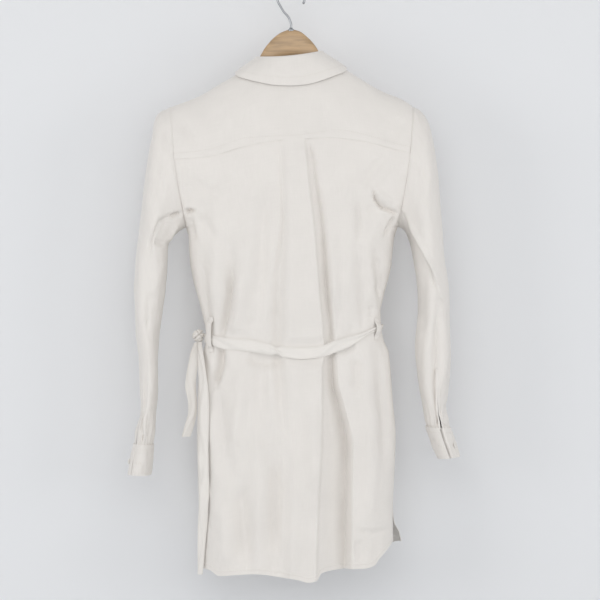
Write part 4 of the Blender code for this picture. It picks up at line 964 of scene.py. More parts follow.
@dataclass(frozen=True)
class CottonFinish(Finish):
    """Washed woven cotton, which follows the cloth's own flat places."""

    threads: float = 1300.0
    sheen: float = 0.12

    def dress(self, wiring: Wiring, shader: bpy.types.Node) -> None:
        """Give the shader its weave, slubs, soft mottle and sheen.

        Args:
            wiring: The material's tree.
            shader: Its Principled shader.
        """
        flat = wiring.node("UVMap", uv_map="cloth").outputs["UV"]
        weave = wiring.node("Group", node_tree=weave_group(), Vector=flat, Threads=self.threads)
        mottle = self.mottle(wiring, flat)
        fine = mottle.outputs["Fine"]
        yarn = wiring.sums("MULTIPLY", weave.outputs["Slub"], 0.35)
        blend = wiring.sums("ADD", yarn, wiring.sums("MULTIPLY", mottle.outputs["Broad"], 0.65))
        puckers = wiring.node("Bump", Height=fine, Distance=0.0005, Strength=0.35)
        threads = wiring.node("Bump", Height=weave.outputs["Height"], Distance=self.relief, Strength=0.7)
        wiring.link(puckers.outputs[0], threads.inputs["Normal"])
        wiring.feed(
            shader, Base_Color=self.tone(wiring, blend, 0.42, 0.92),
            Roughness=self.rough(wiring, fine, 0.05, 0.05), Sheen_Weight=self.sheen,
            Sheen_Roughness=0.55, Specular_IOR_Level=0.2, Normal=threads.outputs[0],
        )


@dataclass(frozen=True)
class WoodFinish(Finish):
    """Varnished wood with its grain along the hanger."""

    def dress(self, wiring: Wiring, shader: bpy.types.Node) -> None:
        """Give the shader long grain lines, darker pores and a thin varnish.

        Args:
            wiring: The material's tree.
            shader: Its Principled shader.
        """
        place = wiring.node("TexCoord").outputs["Object"]
        drawn_out = wiring.node("Mapping", Vector=place, Scale=(9.0, 90.0, 120.0))
        grain = wiring.node("TexNoise", Vector=drawn_out.outputs[0], Scale=1.4, Detail=6.0, Distortion=0.7)
        pores = wiring.node("Mapping", Vector=place, Scale=(60.0, 900.0, 900.0))
        flecks = wiring.node("TexNoise", Vector=pores.outputs[0], Scale=1.0, Detail=2.0)
        shade = wiring.node("MapRange", Value=flecks.outputs["Fac"], To_Min=0.84, To_Max=1.08)
        mixed = wiring.node("Mix", data_type="RGBA", blend_type="MULTIPLY", Factor=1.0)
        wiring.link(self.tone(wiring, grain.outputs["Fac"], 0.36, 0.64), mixed.inputs[6])
        wiring.link(shade.outputs[0], mixed.inputs[7])
        bump = wiring.node("Bump", Height=flecks.outputs["Fac"], Distance=self.relief, Strength=0.5)
        wiring.feed(
            shader, Base_Color=mixed.outputs[2], Coat_Weight=0.35, Coat_Roughness=0.25,
            Roughness=self.rough(wiring, grain.outputs["Fac"], 0.08, 0.1), Normal=bump.outputs[0],
        )


COTTON = CottonFinish("washed cotton", "cotton", (0.760, 0.728, 0.690), 0.88, variation=0.035)
BELT_COTTON = CottonFinish("belt cotton", "cotton", (0.775, 0.745, 0.705), 0.88, variation=0.03)
THREAD = Finish("sewing thread", "cotton", (0.70, 0.665, 0.62), 0.7, variation=0.05, fine=900.0)
SHELL = Finish("button shell", "button", (0.80, 0.775, 0.735), 0.3, variation=0.1, broad=60.0, fine=420.0)
BEECH = WoodFinish("beech wood", "wood", (0.47, 0.318, 0.178), 0.5, variation=0.18)
WIRE = Finish("polished steel", "steel", (0.36, 0.37, 0.385), 0.3, metallic=1.0, variation=0.06)


class Stitching:
    """A row of small thread stitches that lie on the cloth."""

    LENGTH = 2.5
    GAP = 1.0
    HALF_WIDTH = 0.28

    def __init__(self, name: str) -> None:
        """Start an empty set of stitches.

        Args:
            name: Name of the piece that they become.
        """
        self.name = name
        self.bm = bmesh.new()

    def run(self, course: np.ndarray, outward: np.ndarray) -> None:
        """Sew along a course.

        Args:
            course: Points of the course on the cloth, in millimetres.
            outward: Outward direction at each point.
        """
        lengths = np.linalg.norm(np.diff(course, axis=0), axis=1)
        run = np.concatenate([[0.0], np.cumsum(lengths)])
        count = int(run[-1] / (self.LENGTH + self.GAP))
        for k in range(count):
            at = (k + 0.5) * run[-1] / count
            place = np.array([np.interp(at, run, course[:, axis]) for axis in range(3)])
            ahead = np.array([np.interp(at + 0.6, run, course[:, axis]) for axis in range(3)]) - place
            up = np.array([np.interp(at, run, outward[:, axis]) for axis in range(3)])
            along = Vector(ahead).normalized()
            above = (Vector(up) - along * along.dot(Vector(up))).normalized()
            turn = Matrix((along, above.cross(along), above)).transposed().to_4x4()
            size = Matrix.Diagonal((self.LENGTH / 2 * MM, self.HALF_WIDTH * MM, self.HALF_WIDTH * MM, 1.0))
            spot = Matrix.Translation(Vector(place * MM))
            bmesh.ops.create_icosphere(self.bm, subdivisions=1, radius=1.0, matrix=spot @ turn @ size)

    def along(self, grid: ClothGrid, at: int | tuple, lift: float = THREAD_LIFT) -> None:
        """Sew along a row or a stretch of a column of a grid, just above the cloth."""
        self.run(grid.points[at] + lift * grid.outward[at], grid.outward[at])

    def finish(self) -> bpy.types.Object:
        """Make the stitches one piece."""
        return add_piece(self.name, self.bm, THREAD, sharp=90.0)


def sew(name: str, grid: ClothGrid, *courses: int | tuple, lift: float = THREAD_LIFT) -> None:
    """Sew some rows and columns of a grid as one piece.

    Args:
        name: Name of the stitches.
        grid: The cloth.
        courses: Index of each row or stretch of a column.
        lift: Height of the stitches' middle over the cloth.
    """
    seams = Stitching(name)
    for at in courses:
        seams.along(grid, at, lift)
    seams.finish()


def hung_sheet(
    name: str, node: str, grid: ClothGrid, wall: float = WALL, finish: CottonFinish = COTTON
) -> bpy.types.Object:
    """Build a grid as the sheet of hanging cloth that a CAD node stands for.

    Args:
        name: Name of the piece.
        node: The CAD node.
        grid: The cloth.
        wall: Thickness of the cloth in millimetres.
        finish: The cloth's finish.

    Returns:
        The sheet.
    """
    piece = grid.build(name, finish, wall)
    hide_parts(node)
    return piece


def belt_calm(x: np.ndarray, down: np.ndarray, table: tuple, relief: np.ndarray) -> np.ndarray:
    """Creases lie flat under the belt, and ridges stay further from it than troughs."""
    away = np.abs(down - DressForm.belt_middle(table, x))
    return relief * np.where(relief > 0, rise((away - 13) / 16), 0.35 + 0.65 * rise((away - 6) / 9))


def panel_grid(
    x: np.ndarray, down: np.ndarray, face: Face, relief: np.ndarray, sides: tuple, lift: np.ndarray
) -> ClothGrid:
    """Raise a front or back panel over the plain form.

    Args:
        x: Places across, rows by columns.
        down: Places down.
        face: Which face of the dress.
        relief: Height of the creases.
        sides: Pairs of a side's sign and the column that ends at its armhole.
        lift: Height of the whole panel over the plain form.

    Returns:
        The panel's grid.
    """
    sign = face.value
    plain = DressForm.body(x, down, sign)
    outward = facing(grid_normals(plain), np.array([0.0, sign, 0.35]))
    for side, column in sides:
        depth = plain[:, column, 1]
        above = down[:, column] <= ARM_BOTTOM
        arm = DressForm.armhole_normal(side, down[:, column], depth)
        seam = np.broadcast_to(np.array([float(side), 0.0, 0.0]), arm.shape)
        outward[:, column] = np.where(above[:, None], arm, seam)
        plain[:, column, 1] = sign * np.maximum(np.abs(depth), 0.8 * SEAM_GAP)
    raised = plain + outward * np.broadcast_to(relief + lift, x.shape)[..., None]
    turned = facing(grid_normals(raised), outward)
    for _, column in sides:
        turned[:, column] = outward[:, column]
    return ClothGrid(raised, turned)


@dataclass
class BackPanel:
    """Back panel: yoke seam to shirt-tail hem, with the box pleat in its middle."""

    rows: tuple = ((60, 1.4), (70, 1.4), (112, 0.9), (2, 1.0), (5, 1.0))
    columns: tuple[int, ...] = (58, 12, 10, 6, 7, 13, 6, 52)
    belt_row: int = 130
    hem_turn: float = 9.0
    hem_rise: float = 0.5
    crowding: float = 1.6
    crease_gain: float = 1.7
    wrinkle: float = 1.7
    seed: int = 3
    side_fade: float = 7.0
    seam_fade: float = 26.0

    def places(self) -> np.ndarray:
        """Columns through the zones between the guides, crowded towards the side seams."""
        steps = [zone + np.arange(1, count + 1) / count for zone, count in enumerate(self.columns)]
        place = np.concatenate([[0.0]] + steps)
        last = len(self.columns)
        near, far = place < 1, place > last - 1
        place[near] = place[near] ** self.crowding
        place[far] = last - (last - place[far]) ** self.crowding
        return place

    @staticmethod
    def guides(down: np.ndarray, left: np.ndarray, right: np.ndarray) -> np.ndarray:
        """Lines down the back that the columns follow: the sides and the pleat's folds."""
        fold_left = through(BOX_PLEAT, "down", "left", down)
        fold_right = through(BOX_PLEAT, "down", "right", down)
        end = np.minimum(through(BOX_PLEAT, "down", "underlay", down), fold_right - UNDERLAY_MIN)
        near = (left, fold_left + PLEAT_DIP, fold_left + 2, fold_right + PLEAT_EDGE + 2, fold_right + 1)
        far = (fold_right - PLEAT_EDGE, end + 6, end - 3, right)
        return np.stack(near + far)

    @staticmethod
    def pleat(x: np.ndarray, down: np.ndarray) -> np.ndarray:
        """Height of the box pleat: a raised box with its underlay beside it."""
        left = through(BOX_PLEAT, "down", "left", down)
        right = through(BOX_PLEAT, "down", "right", down)
        end = through(BOX_PLEAT, "down", "underlay", down)
        depth = through(BOX_PLEAT, "down", "depth", down)
        box = rise((left + 3 - x) / 12) * rise((x - right + 0.8 * PLEAT_EDGE) / (1.4 * PLEAT_EDGE))
        slope = np.clip((right - x) / (right - end), 0, 1) ** 0.9
        gully = slope * rise((x - end + 9) / 11)
        broad = rise((down - DIP_BROADENS) / 120)
        dip = np.exp(-(((x - left - 2 - 3 * broad) / (4 + 6 * broad)) ** 2)) * (0.55 + 0.45 * broad)
        dip = DIP_GAIN * depth * dip * rise((DIP_ENDS - down) / 200)
        return PLEAT_RISE * box - PLEAT_GAIN * depth * gully - dip

    def build(self) -> bpy.types.Object:
        """Build the panel and its hem stitching, and return the panel."""
        place = self.places()
        share = levels(*self.rows)
        columns = np.arange(len(place))
        rows = np.arange(len(share))[:, None]
        zone = np.clip(np.floor(place).astype(int), 0, len(self.columns) - 1)
        part = place - zone
        x = np.broadcast_to(np.linspace(175, -175, len(place)), (len(share), len(place))).copy()
        for _ in range(4):
            seam = through(YOKE_SEAM, "x", "down", x[0]) + SEAM_GAP / 2
            belt = DressForm.belt_middle(BELT_BACK, x[self.belt_row])
            hem = through(BACK_HEM, "x", "down", x[-1])
            turned = hem - self.hem_turn
            down = zone_down(share, (seam, np.full(len(place), ARM_BOTTOM), belt, turned - 1, turned, hem))
            left = DressForm.side_x(1, down, 1)
            right = DressForm.side_x(-1, down, 1)
            lines = self.guides(down, left, right)
            before = lines[zone[None, :], rows, columns]
            x = before * (1 - part) + lines[zone[None, :] + 1, rows, columns] * part
        sides = rise((left - x) / self.side_fade) * rise((x - right) / self.side_fade)
        top = rise((down - through(YOKE_SEAM, "x", "down", x)) / self.seam_fade)
        pleat = self.pleat(x, down) * (0.25 + 0.75 * top)
        relief = (pleat + self.crease_gain * crease_relief(BACK_CREASES, x, down) * top) * sides
        relief = relief + crumple(x, down, self.seed, self.wrinkle) * sides * (0.3 + 0.7 * top)
        relief = belt_calm(x, down, BELT_BACK, relief)
        relief[-HEM_ROWS:] += self.hem_rise
        grid = panel_grid(x, down, Face.BACK, relief, ((1, 0), (-1, -1)), 0.0)
        piece = hung_sheet("dress_back", "back", grid)
        sew("stitching_back_hem", grid, HEM_SEAM_ROW, lift=HEM_THREAD_LIFT)
        return piece


@dataclass
class FrontPanel:
    """One front: from its centre edge to the armhole and side seam."""

    side: Side
    rows: tuple = ((34, 1.4), (42, 1.4), (80, 0.9), (2, 1.0), (5, 1.0))
    belt_row: int = 76
    hem_turn: float = 9.0
    hem_rise: float = 0.4
    underlap: float = 1.6
    wrinkle: float = 1.1
    seed: int = 11
    side_fade: float = 13.0
    top_fade: float = 28.0

    @staticmethod
    def top(x: np.ndarray) -> np.ndarray:
        """Upper edge of the fronts: the neck seam near the middle, then the shoulder seam."""
        reach = np.clip(np.abs(x) / NECK_HALF_WIDTH, 0, 1)
        turn = YOKE_TURN + np.arccos(reach) * (math.pi - YOKE_TURN) / (math.pi / 2)
        angle = NECK_FRONT_ANGLE * np.cos(turn)
        return ARM_MIDDLE - (ARM_MIDDLE - DressForm.shoulder(x)) * np.cos(angle)

    def build(self) -> bpy.types.Object:
        """Build the panel and its hem stitching, and return the panel."""
        side = self.side.value
        start = -side * BAND_HALF_WIDTH
        neck = np.abs(DressForm.neck_seam(np.linspace(YOKE_TURN, FRONT_OPENING, 25))[0])[::-1]
        arm = np.linspace(NECK_HALF_WIDTH, abs(ARM_TOP_X[side]), 41)
        columns = side * np.concatenate([[-BAND_HALF_WIDTH, -8.0, 0.0], neck, arm[1:]])
        share = levels(*self.rows)
        across = (columns - start) / (columns[-1] - start)
        x = np.broadcast_to(columns, (len(share), len(columns))).copy()
        for _ in range(8):
            top = self.top(columns) + SEAM_GAP + self.underlap * rise(-side * columns / 10)
            belt = DressForm.belt_middle(BELT_FRONT, x[self.belt_row])
            hem = through(FRONT_HEM, "x", "down", x[-1])
            turned = hem - self.hem_turn
            down = zone_down(share, (top, np.full(len(across), ARM_BOTTOM), belt, turned - 1, turned, hem))
            edge = DressForm.side_x(side, down, -1)
            x = start + (edge - start) * across
            x[0] = columns
        calm = rise(np.abs(edge - x) / self.side_fade) * rise((down - top) / self.top_fade)
        calm = calm * rise((np.abs(x) - BAND_HALF_WIDTH - 2) / 18)
        relief = (crease_relief(FRONT_CREASES, x, down) + crumple(x, down, self.seed, self.wrinkle)) * calm
        relief = belt_calm(x, down, BELT_FRONT, relief)
        relief[-HEM_ROWS:] += self.hem_rise * rise((np.abs(x[-HEM_ROWS:]) - BAND_HALF_WIDTH - 1) / 6)
        lift = OVERLAP_LIFT * rise((x + 60) / (60 - BAND_HALF_WIDTH)) if side < 0 else np.zeros(x.shape)
        grid = panel_grid(x, down, Face.FRONT, relief, ((side, -1),), lift)
        word = self.side.word
        piece = hung_sheet(f"dress_front_{word}", f"front_{word}", grid)
        sew(f"stitching_front_hem_{word}", grid, HEM_SEAM_ROW, lift=HEM_THREAD_LIFT)
        return piece


@dataclass
class ButtonBand:
    """Band down the right front's edge with its buttons and buttonholes."""

    wall: float = 1.0
    gap: float = 0.6
    buttons: int = 8
    button_radius: float = 5.5
    hole_reach: float = 9.0
    hole_half_width: float = 1.3
    wrinkle: float = 0.12
    seed: int = 5

    def build(self) -> None:
        """Build the band, its stitching and its buttons."""
        places = np.linspace(-BAND_HALF_WIDTH, BAND_HALF_WIDTH - 0.6, 15)
        share = levels((30, 1.4), (36, 1.4), (80, 0.9))
        x = np.broadcast_to(places, (len(share), len(places)))
        top = FrontPanel.top(x[0]) + 2.0
        hem = through(FRONT_HEM, "x", "down", x[0]) - 0.5
        belt = DressForm.belt_middle(BELT_FRONT, x[0])
        down = zone_down(share, (top, np.full(len(places), ARM_BOTTOM), belt, hem))
        plain = DressForm.body(x, down, -1)
        outward = facing(grid_normals(plain), np.array([0.0, -1.0, 0.35]))
        lift = OVERLAP_LIFT + self.gap + self.wall + self.wrinkle * crumple(x, down, self.seed, 1.0)
        grid = ClothGrid(plain, outward).raised(lift)
        hung_sheet("dress_button_band", "button_band", grid, self.wall)
        lines = Stitching("stitching_button_band")
        for column in (2, -3):
            lines.along(grid, (WHOLE, column))
        middle = len(places) // 2
        heights = down[:, middle]
        for number in range(1, self.buttons + 1):
            low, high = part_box(f"button_{number}")
            centre = (Vector(low) + Vector(high)) / 2
            across = [np.interp(-centre.z / MM, heights, grid.outward[:, middle, k]) for k in range(3)]
            button = Button(f"dress_button_{number}", centre, Vector(across).normalized(), self.button_radius)
            button.build(f"button_{number}")
            spot = np.array(centre) / MM - np.array(Vector(across)) * 1.2
            for shift in (-self.hole_half_width, self.hole_half_width):
                ends = np.array([[shift, 0.0, self.hole_reach], [shift, 0.0, -self.hole_reach]])
                lines.run(spot + ends, np.array([Vector(across)] * 2))
        lines.finish()


@dataclass
class Button:
    """A round four-hole button with its thread."""

    name: str
    centre: Vector
    outward: Vector
    radius: float
    thick: float = 2.4

    def build(self, node: str | None = None) -> bpy.types.Object:
        """Build the button and its thread.

        Args:
            node: CAD node that it stands for, if any.

        Returns:
            The button.
        """
        bm = bmesh.new()
        bmesh.ops.create_grid(bm, x_segments=12, y_segments=12, size=1)
        holes = [f for f in bm.faces if 0.0 < min(abs(c) for c in f.calc_center_median().xy) and
                 max(abs(abs(c) - 0.25) for c in f.calc_center_median().xy) < 0.09]
        for vert in bm.verts:
            a, b = vert.co.x, vert.co.y
            vert.co = (a * math.sqrt(1 - b * b / 2), b * math.sqrt(1 - a * a / 2), 0.0)
        for vert in bm.verts:
            out = vert.co.xy.length
            rim = float(rise(np.array((out - 0.55) / 0.2)))
            edge = float(rise(np.array((out - 0.86) / 0.14)))
            dish = 0.42 + 0.16 * rim - 0.2 * edge
            vert.co = (vert.co.x * self.radius, vert.co.y * self.radius, dish * self.thick)
        made = bmesh.ops.extrude_face_region(bm, geom=bm.faces[:], use_keep_orig=True)
        for item in made["geom"]:
            if isinstance(item, bmesh.types.BMVert):
                item.co.z = -0.5 * self.thick + 0.25 * max(0.0, item.co.xy.length - 0.8 * self.radius)
        bmesh.ops.delete(bm, geom=[f for f in holes if f.is_valid], context="FACES_KEEP_BOUNDARY")
        rims = [e for e in bm.edges if e.is_boundary]
        sunk = bmesh.ops.extrude_edge_only(bm, edges=rims)
        floor = [v for v in sunk["geom"] if isinstance(v, bmesh.types.BMVert)]
        bmesh.ops.translate(bm, verts=floor, vec=(0.0, 0.0, -0.5 * self.thick))
        bmesh.ops.holes_fill(bm, edges=[e for e in bm.edges if e.is_boundary], sides=0)
        turn = self.outward.to_track_quat("Z", "Y").to_matrix().to_4x4()
        stand = Matrix.Translation(self.centre) @ turn @ Matrix.Scale(MM, 4)
        bmesh.ops.transform(bm, matrix=stand, verts=bm.verts)
        piece = add_piece(self.name, bm, SHELL, sharp=40.0)
        if node:
            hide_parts(node)
        self.thread(stand)
        return piece

    def thread(self, stand: Matrix) -> None:
        """Sew the button on with two crossing bundles of thread."""
        bm = bmesh.new()
        for angle in (math.pi / 4, -math.pi / 4):
            for shift in (-0.22, 0.22):
                size = Matrix.Diagonal((0.27 * self.radius, 0.24, 0.26, 1.0))
                spot = Matrix.Rotation(angle, 4, "Z") @ Matrix.Translation((0.0, shift, 0.46 * self.thick))
                bmesh.ops.create_icosphere(bm, subdivisions=2, radius=1.0, matrix=stand @ spot @ size)
        add_piece(f"{self.name}_thread", bm, THREAD, sharp=90.0)


@dataclass
class Yoke:
    """Yoke: from the back seam over both shoulders to just in front of them."""

    neck_x: float = 78.0
    ridge_share: float = 0.742
    overhang: float = 2.0
    edge_rise: float = 1.05
    wrinkle: float = 0.7
    seed: int = 23

    def build(self) -> bpy.types.Object:
        """Build the yoke with its lower edge lying on the back, and its topstitching."""
        neck_x, neck_angle = DressForm.neck_seam(np.linspace(YOKE_TURN, -YOKE_TURN, 81))
        neck_low = np.linspace(self.neck_x, -self.neck_x, 81)
        part = np.linspace(0, 1, 37)
        left_low = 203 + (self.neck_x - 203) * part[:-1]
        right_low = -self.neck_x + (self.neck_x - 206) * part[1:]
        left_high = ARM_TOP_X[1] + (NECK_HALF_WIDTH - ARM_TOP_X[1]) * part[:-1]
        right_high = -NECK_HALF_WIDTH + (NECK_HALF_WIDTH + ARM_TOP_X[-1]) * part[1:]
        x_low = np.concatenate([left_low, neck_low, right_low])
        x_high = np.concatenate([left_high, neck_x, right_high])
        forward = np.full(len(part) - 1, YOKE_FORWARD)
        high_angle = np.concatenate([forward, neck_angle, forward])
        start = np.array([0.0, 0.012, 0.024, 0.036, 0.05])
        behind, ahead = np.linspace(0.066, self.ridge_share, 38), np.linspace(self.ridge_share, 1, 13)[1:]
        rows = np.concatenate([start, behind, ahead])[:, None]
        x = x_low * (1 - rows) + x_high * rows
        for _ in range(3):
            seam = through(YOKE_SEAM, "x", "down", x[0]) + self.overhang
            low_angle = DressForm.shoulder_angle(x[0], seam, 1)
            angle = low_angle * (1 - rows) + high_angle * rows
            down = ARM_MIDDLE - (ARM_MIDDLE - DressForm.shoulder(x)) * np.cos(angle)
            x[:, 0] = DressForm.armhole_x(1, down[:, 0])
            x[:, -1] = DressForm.armhole_x(-1, down[:, -1])
        points = DressForm.over_shoulder(x, angle)
        outward = DressForm.shoulder_normal(x, angle)
        for side, column in ((1, 0), (-1, -1)):
            outward[:, column] = DressForm.armhole_normal(side, down[:, column], points[:, column, 1])
        calm = rise((ARM_TOP_X[1] - x) / 12) * rise((x - ARM_TOP_X[-1]) / 12) * rise((1 - rows) / 0.12)
        behind = rise((points[..., 1] - 4) / 12)
        to_seam = through(YOKE_SEAM, "x", "down", x) + self.overhang - down
        step = self.edge_rise * (1 - 0.75 * rise((to_seam - 7) / 7)) * behind
        relief = crease_relief(YOKE_CREASES, x, down) * behind * rise(to_seam / 12)
        wrinkles = crumple(x, down + points[..., 1], self.seed, self.wrinkle, 1.0)
        relief = relief + (wrinkles + relief) * calm * 0.5
        grid = ClothGrid(points, outward).raised(relief * calm + step)
        grid.outward[:, 0] = outward[:, 0]
        grid.outward[:, -1] = outward[:, -1]
        piece = hung_sheet("dress_yoke", "yoke", grid)
        sew("stitching_yoke", grid, 4)
        return piece


@dataclass
class Collar:
    """Collar: an upright stand round the neck and a fall that folds over it."""

    fold_centre: tuple[float, float] = (3.0, -8.0)
    fold_half: tuple[float, float] = (56.5, 42.0)
    fold_tilt: float = 0.09
    side_down: float = 121.5
    back_drop: float = 6.5
    front_drop: float = 54.0
    half_width: float = 93.5
    point_x: float = 50.0
    back_angle: float = math.radians(45.5)
    end_angle: float = math.radians(10.0)
    front_angle: float = math.radians(68.0)
    clear: float = 3.1
    wall: float = 1.2
    wrinkle: float = 0.8
    seed: int = 31
    turns: int = 181

    def fold_line(self, turn: np.ndarray) -> np.ndarray:
        """Line where the stand ends and the fall begins."""
        x = self.fold_centre[0] + self.fold_half[0] * np.sin(turn)
        y = self.fold_centre[1] + self.fold_half[1] * np.cos(turn)
        drop = np.where(np.cos(turn) > 0, self.back_drop, self.front_drop) * np.abs(np.cos(turn)) ** 1.6
        return np.stack([x, y, -(self.side_down + drop + self.fold_tilt * x)], axis=-1)

    def radial(self, turn: np.ndarray) -> np.ndarray:
        """Level direction out of the neck."""
        wide, deep = self.fold_half
        return unit(np.stack([deep * np.sin(turn), wide * np.cos(turn), 0 * turn], axis=-1))

    def fall_edge(self, turn: np.ndarray) -> np.ndarray:
        """Outer edge of the collar, resting just off the yoke and the fronts."""
        quarter = math.pi / 2
        past = np.clip((np.abs(turn) - quarter) / (FRONT_OPENING - quarter), 0, 1)
        narrow = math.acos(self.point_x / self.half_width)
        reach = np.where(past > 0, np.sign(turn) * np.cos(narrow * past), np.sin(turn))
        ahead = self.end_angle - (self.front_angle + self.end_angle) * np.sin(past * quarter)
        behind = self.end_angle + (self.back_angle - self.end_angle) * np.cos(turn)
        angle = np.where(past > 0, ahead, behind)
        x = self.half_width * reach
        return DressForm.over_shoulder(x, angle) + DressForm.shoulder_normal(x, angle) * self.clear

    def build_stand(self, turn: np.ndarray) -> bpy.types.Object:
        """Build the upright band between the neck seam and the fold line."""
        x, angle = DressForm.neck_seam(turn)
        base = DressForm.over_shoulder(x, angle)
        outward = DressForm.shoulder_normal(x, angle)
        along = unit(np.gradient(base, axis=0))
        into_hole = np.cross(outward, along)
        into_hole = into_hole * np.sign(np.sum(into_hole * -self.radial(turn), axis=-1, keepdims=True))
        low = base + into_hole * SEAM_GAP
        rows = np.linspace(0, 1, 15)[:, None, None]
        lean = np.interp(rows, [0.0, 0.35, 1.0], [0.0, 0.8, 1.0])
        across = unit(outward * (1 - lean) + self.radial(turn) * lean)
        grid = ClothGrid(low * (1 - rows) + self.fold_line(turn) * rows, across)
        return hung_sheet("dress_collar_stand", "collar_stand", grid, self.wall)

    def build_fall(self, turn: np.ndarray) -> bpy.types.Object:
        """Build the fall, with its edge stitching, and return it."""
        top = self.fold_line(turn)
        out = self.radial(turn)
        up = np.array([0.0, 0.0, 1.0])
        edge = self.fall_edge(turn)
        hidden = [top + 0.4 * up, top + 1.4 * up + 0.6 * out, top + 0.2 * up + 1.6 * out]
        start = top - 1.5 * up + 3.2 * out
        for share in (0.0, 0.33, 0.66, 1.0):
            bulge = 2.5 * math.sin(math.pi * share)
            hidden.append(start * (1 - share) + edge * share + out * bulge)
        hidden = np.stack(hidden)
        outward = facing(grid_normals(hidden), out + 0.3 * up)
        outward[0] = -out
        outward[1] = unit(up - 0.2 * out)
        outward[2] = unit(out + 0.8 * up)
        points = finer(hidden + self.wall * outward, 7)
        outward = unit(finer(outward, 7))
        leaf = rise((np.arange(len(points)) - 20) / 10)[:, None]
        u, v = np.meshgrid(np.arange(len(turn)) * 2.3, np.arange(len(points)) * 1.4)
        waves = crumple(u, v, self.seed, self.wrinkle, 1.0)
        lines = [0.5 * np.exp(-(((points[..., 0] - x) / 9) ** 2)) for x in (-58, 34)]
        points = points + outward * ((waves + sum(lines)) * leaf)[..., None]
        grid = ClothGrid(points, outward)
        piece = hung_sheet("dress_collar", "collar", grid, self.wall)
        ends = slice(22, -6)
        sew("stitching_collar", grid, -7, (ends, 3), (ends, -4))
        return piece

    def build(self) -> None:
        """Build the stand and the fall."""
        turn = np.linspace(-FRONT_OPENING, FRONT_OPENING, self.turns)
        self.build_stand(turn)
        self.build_fall(turn)


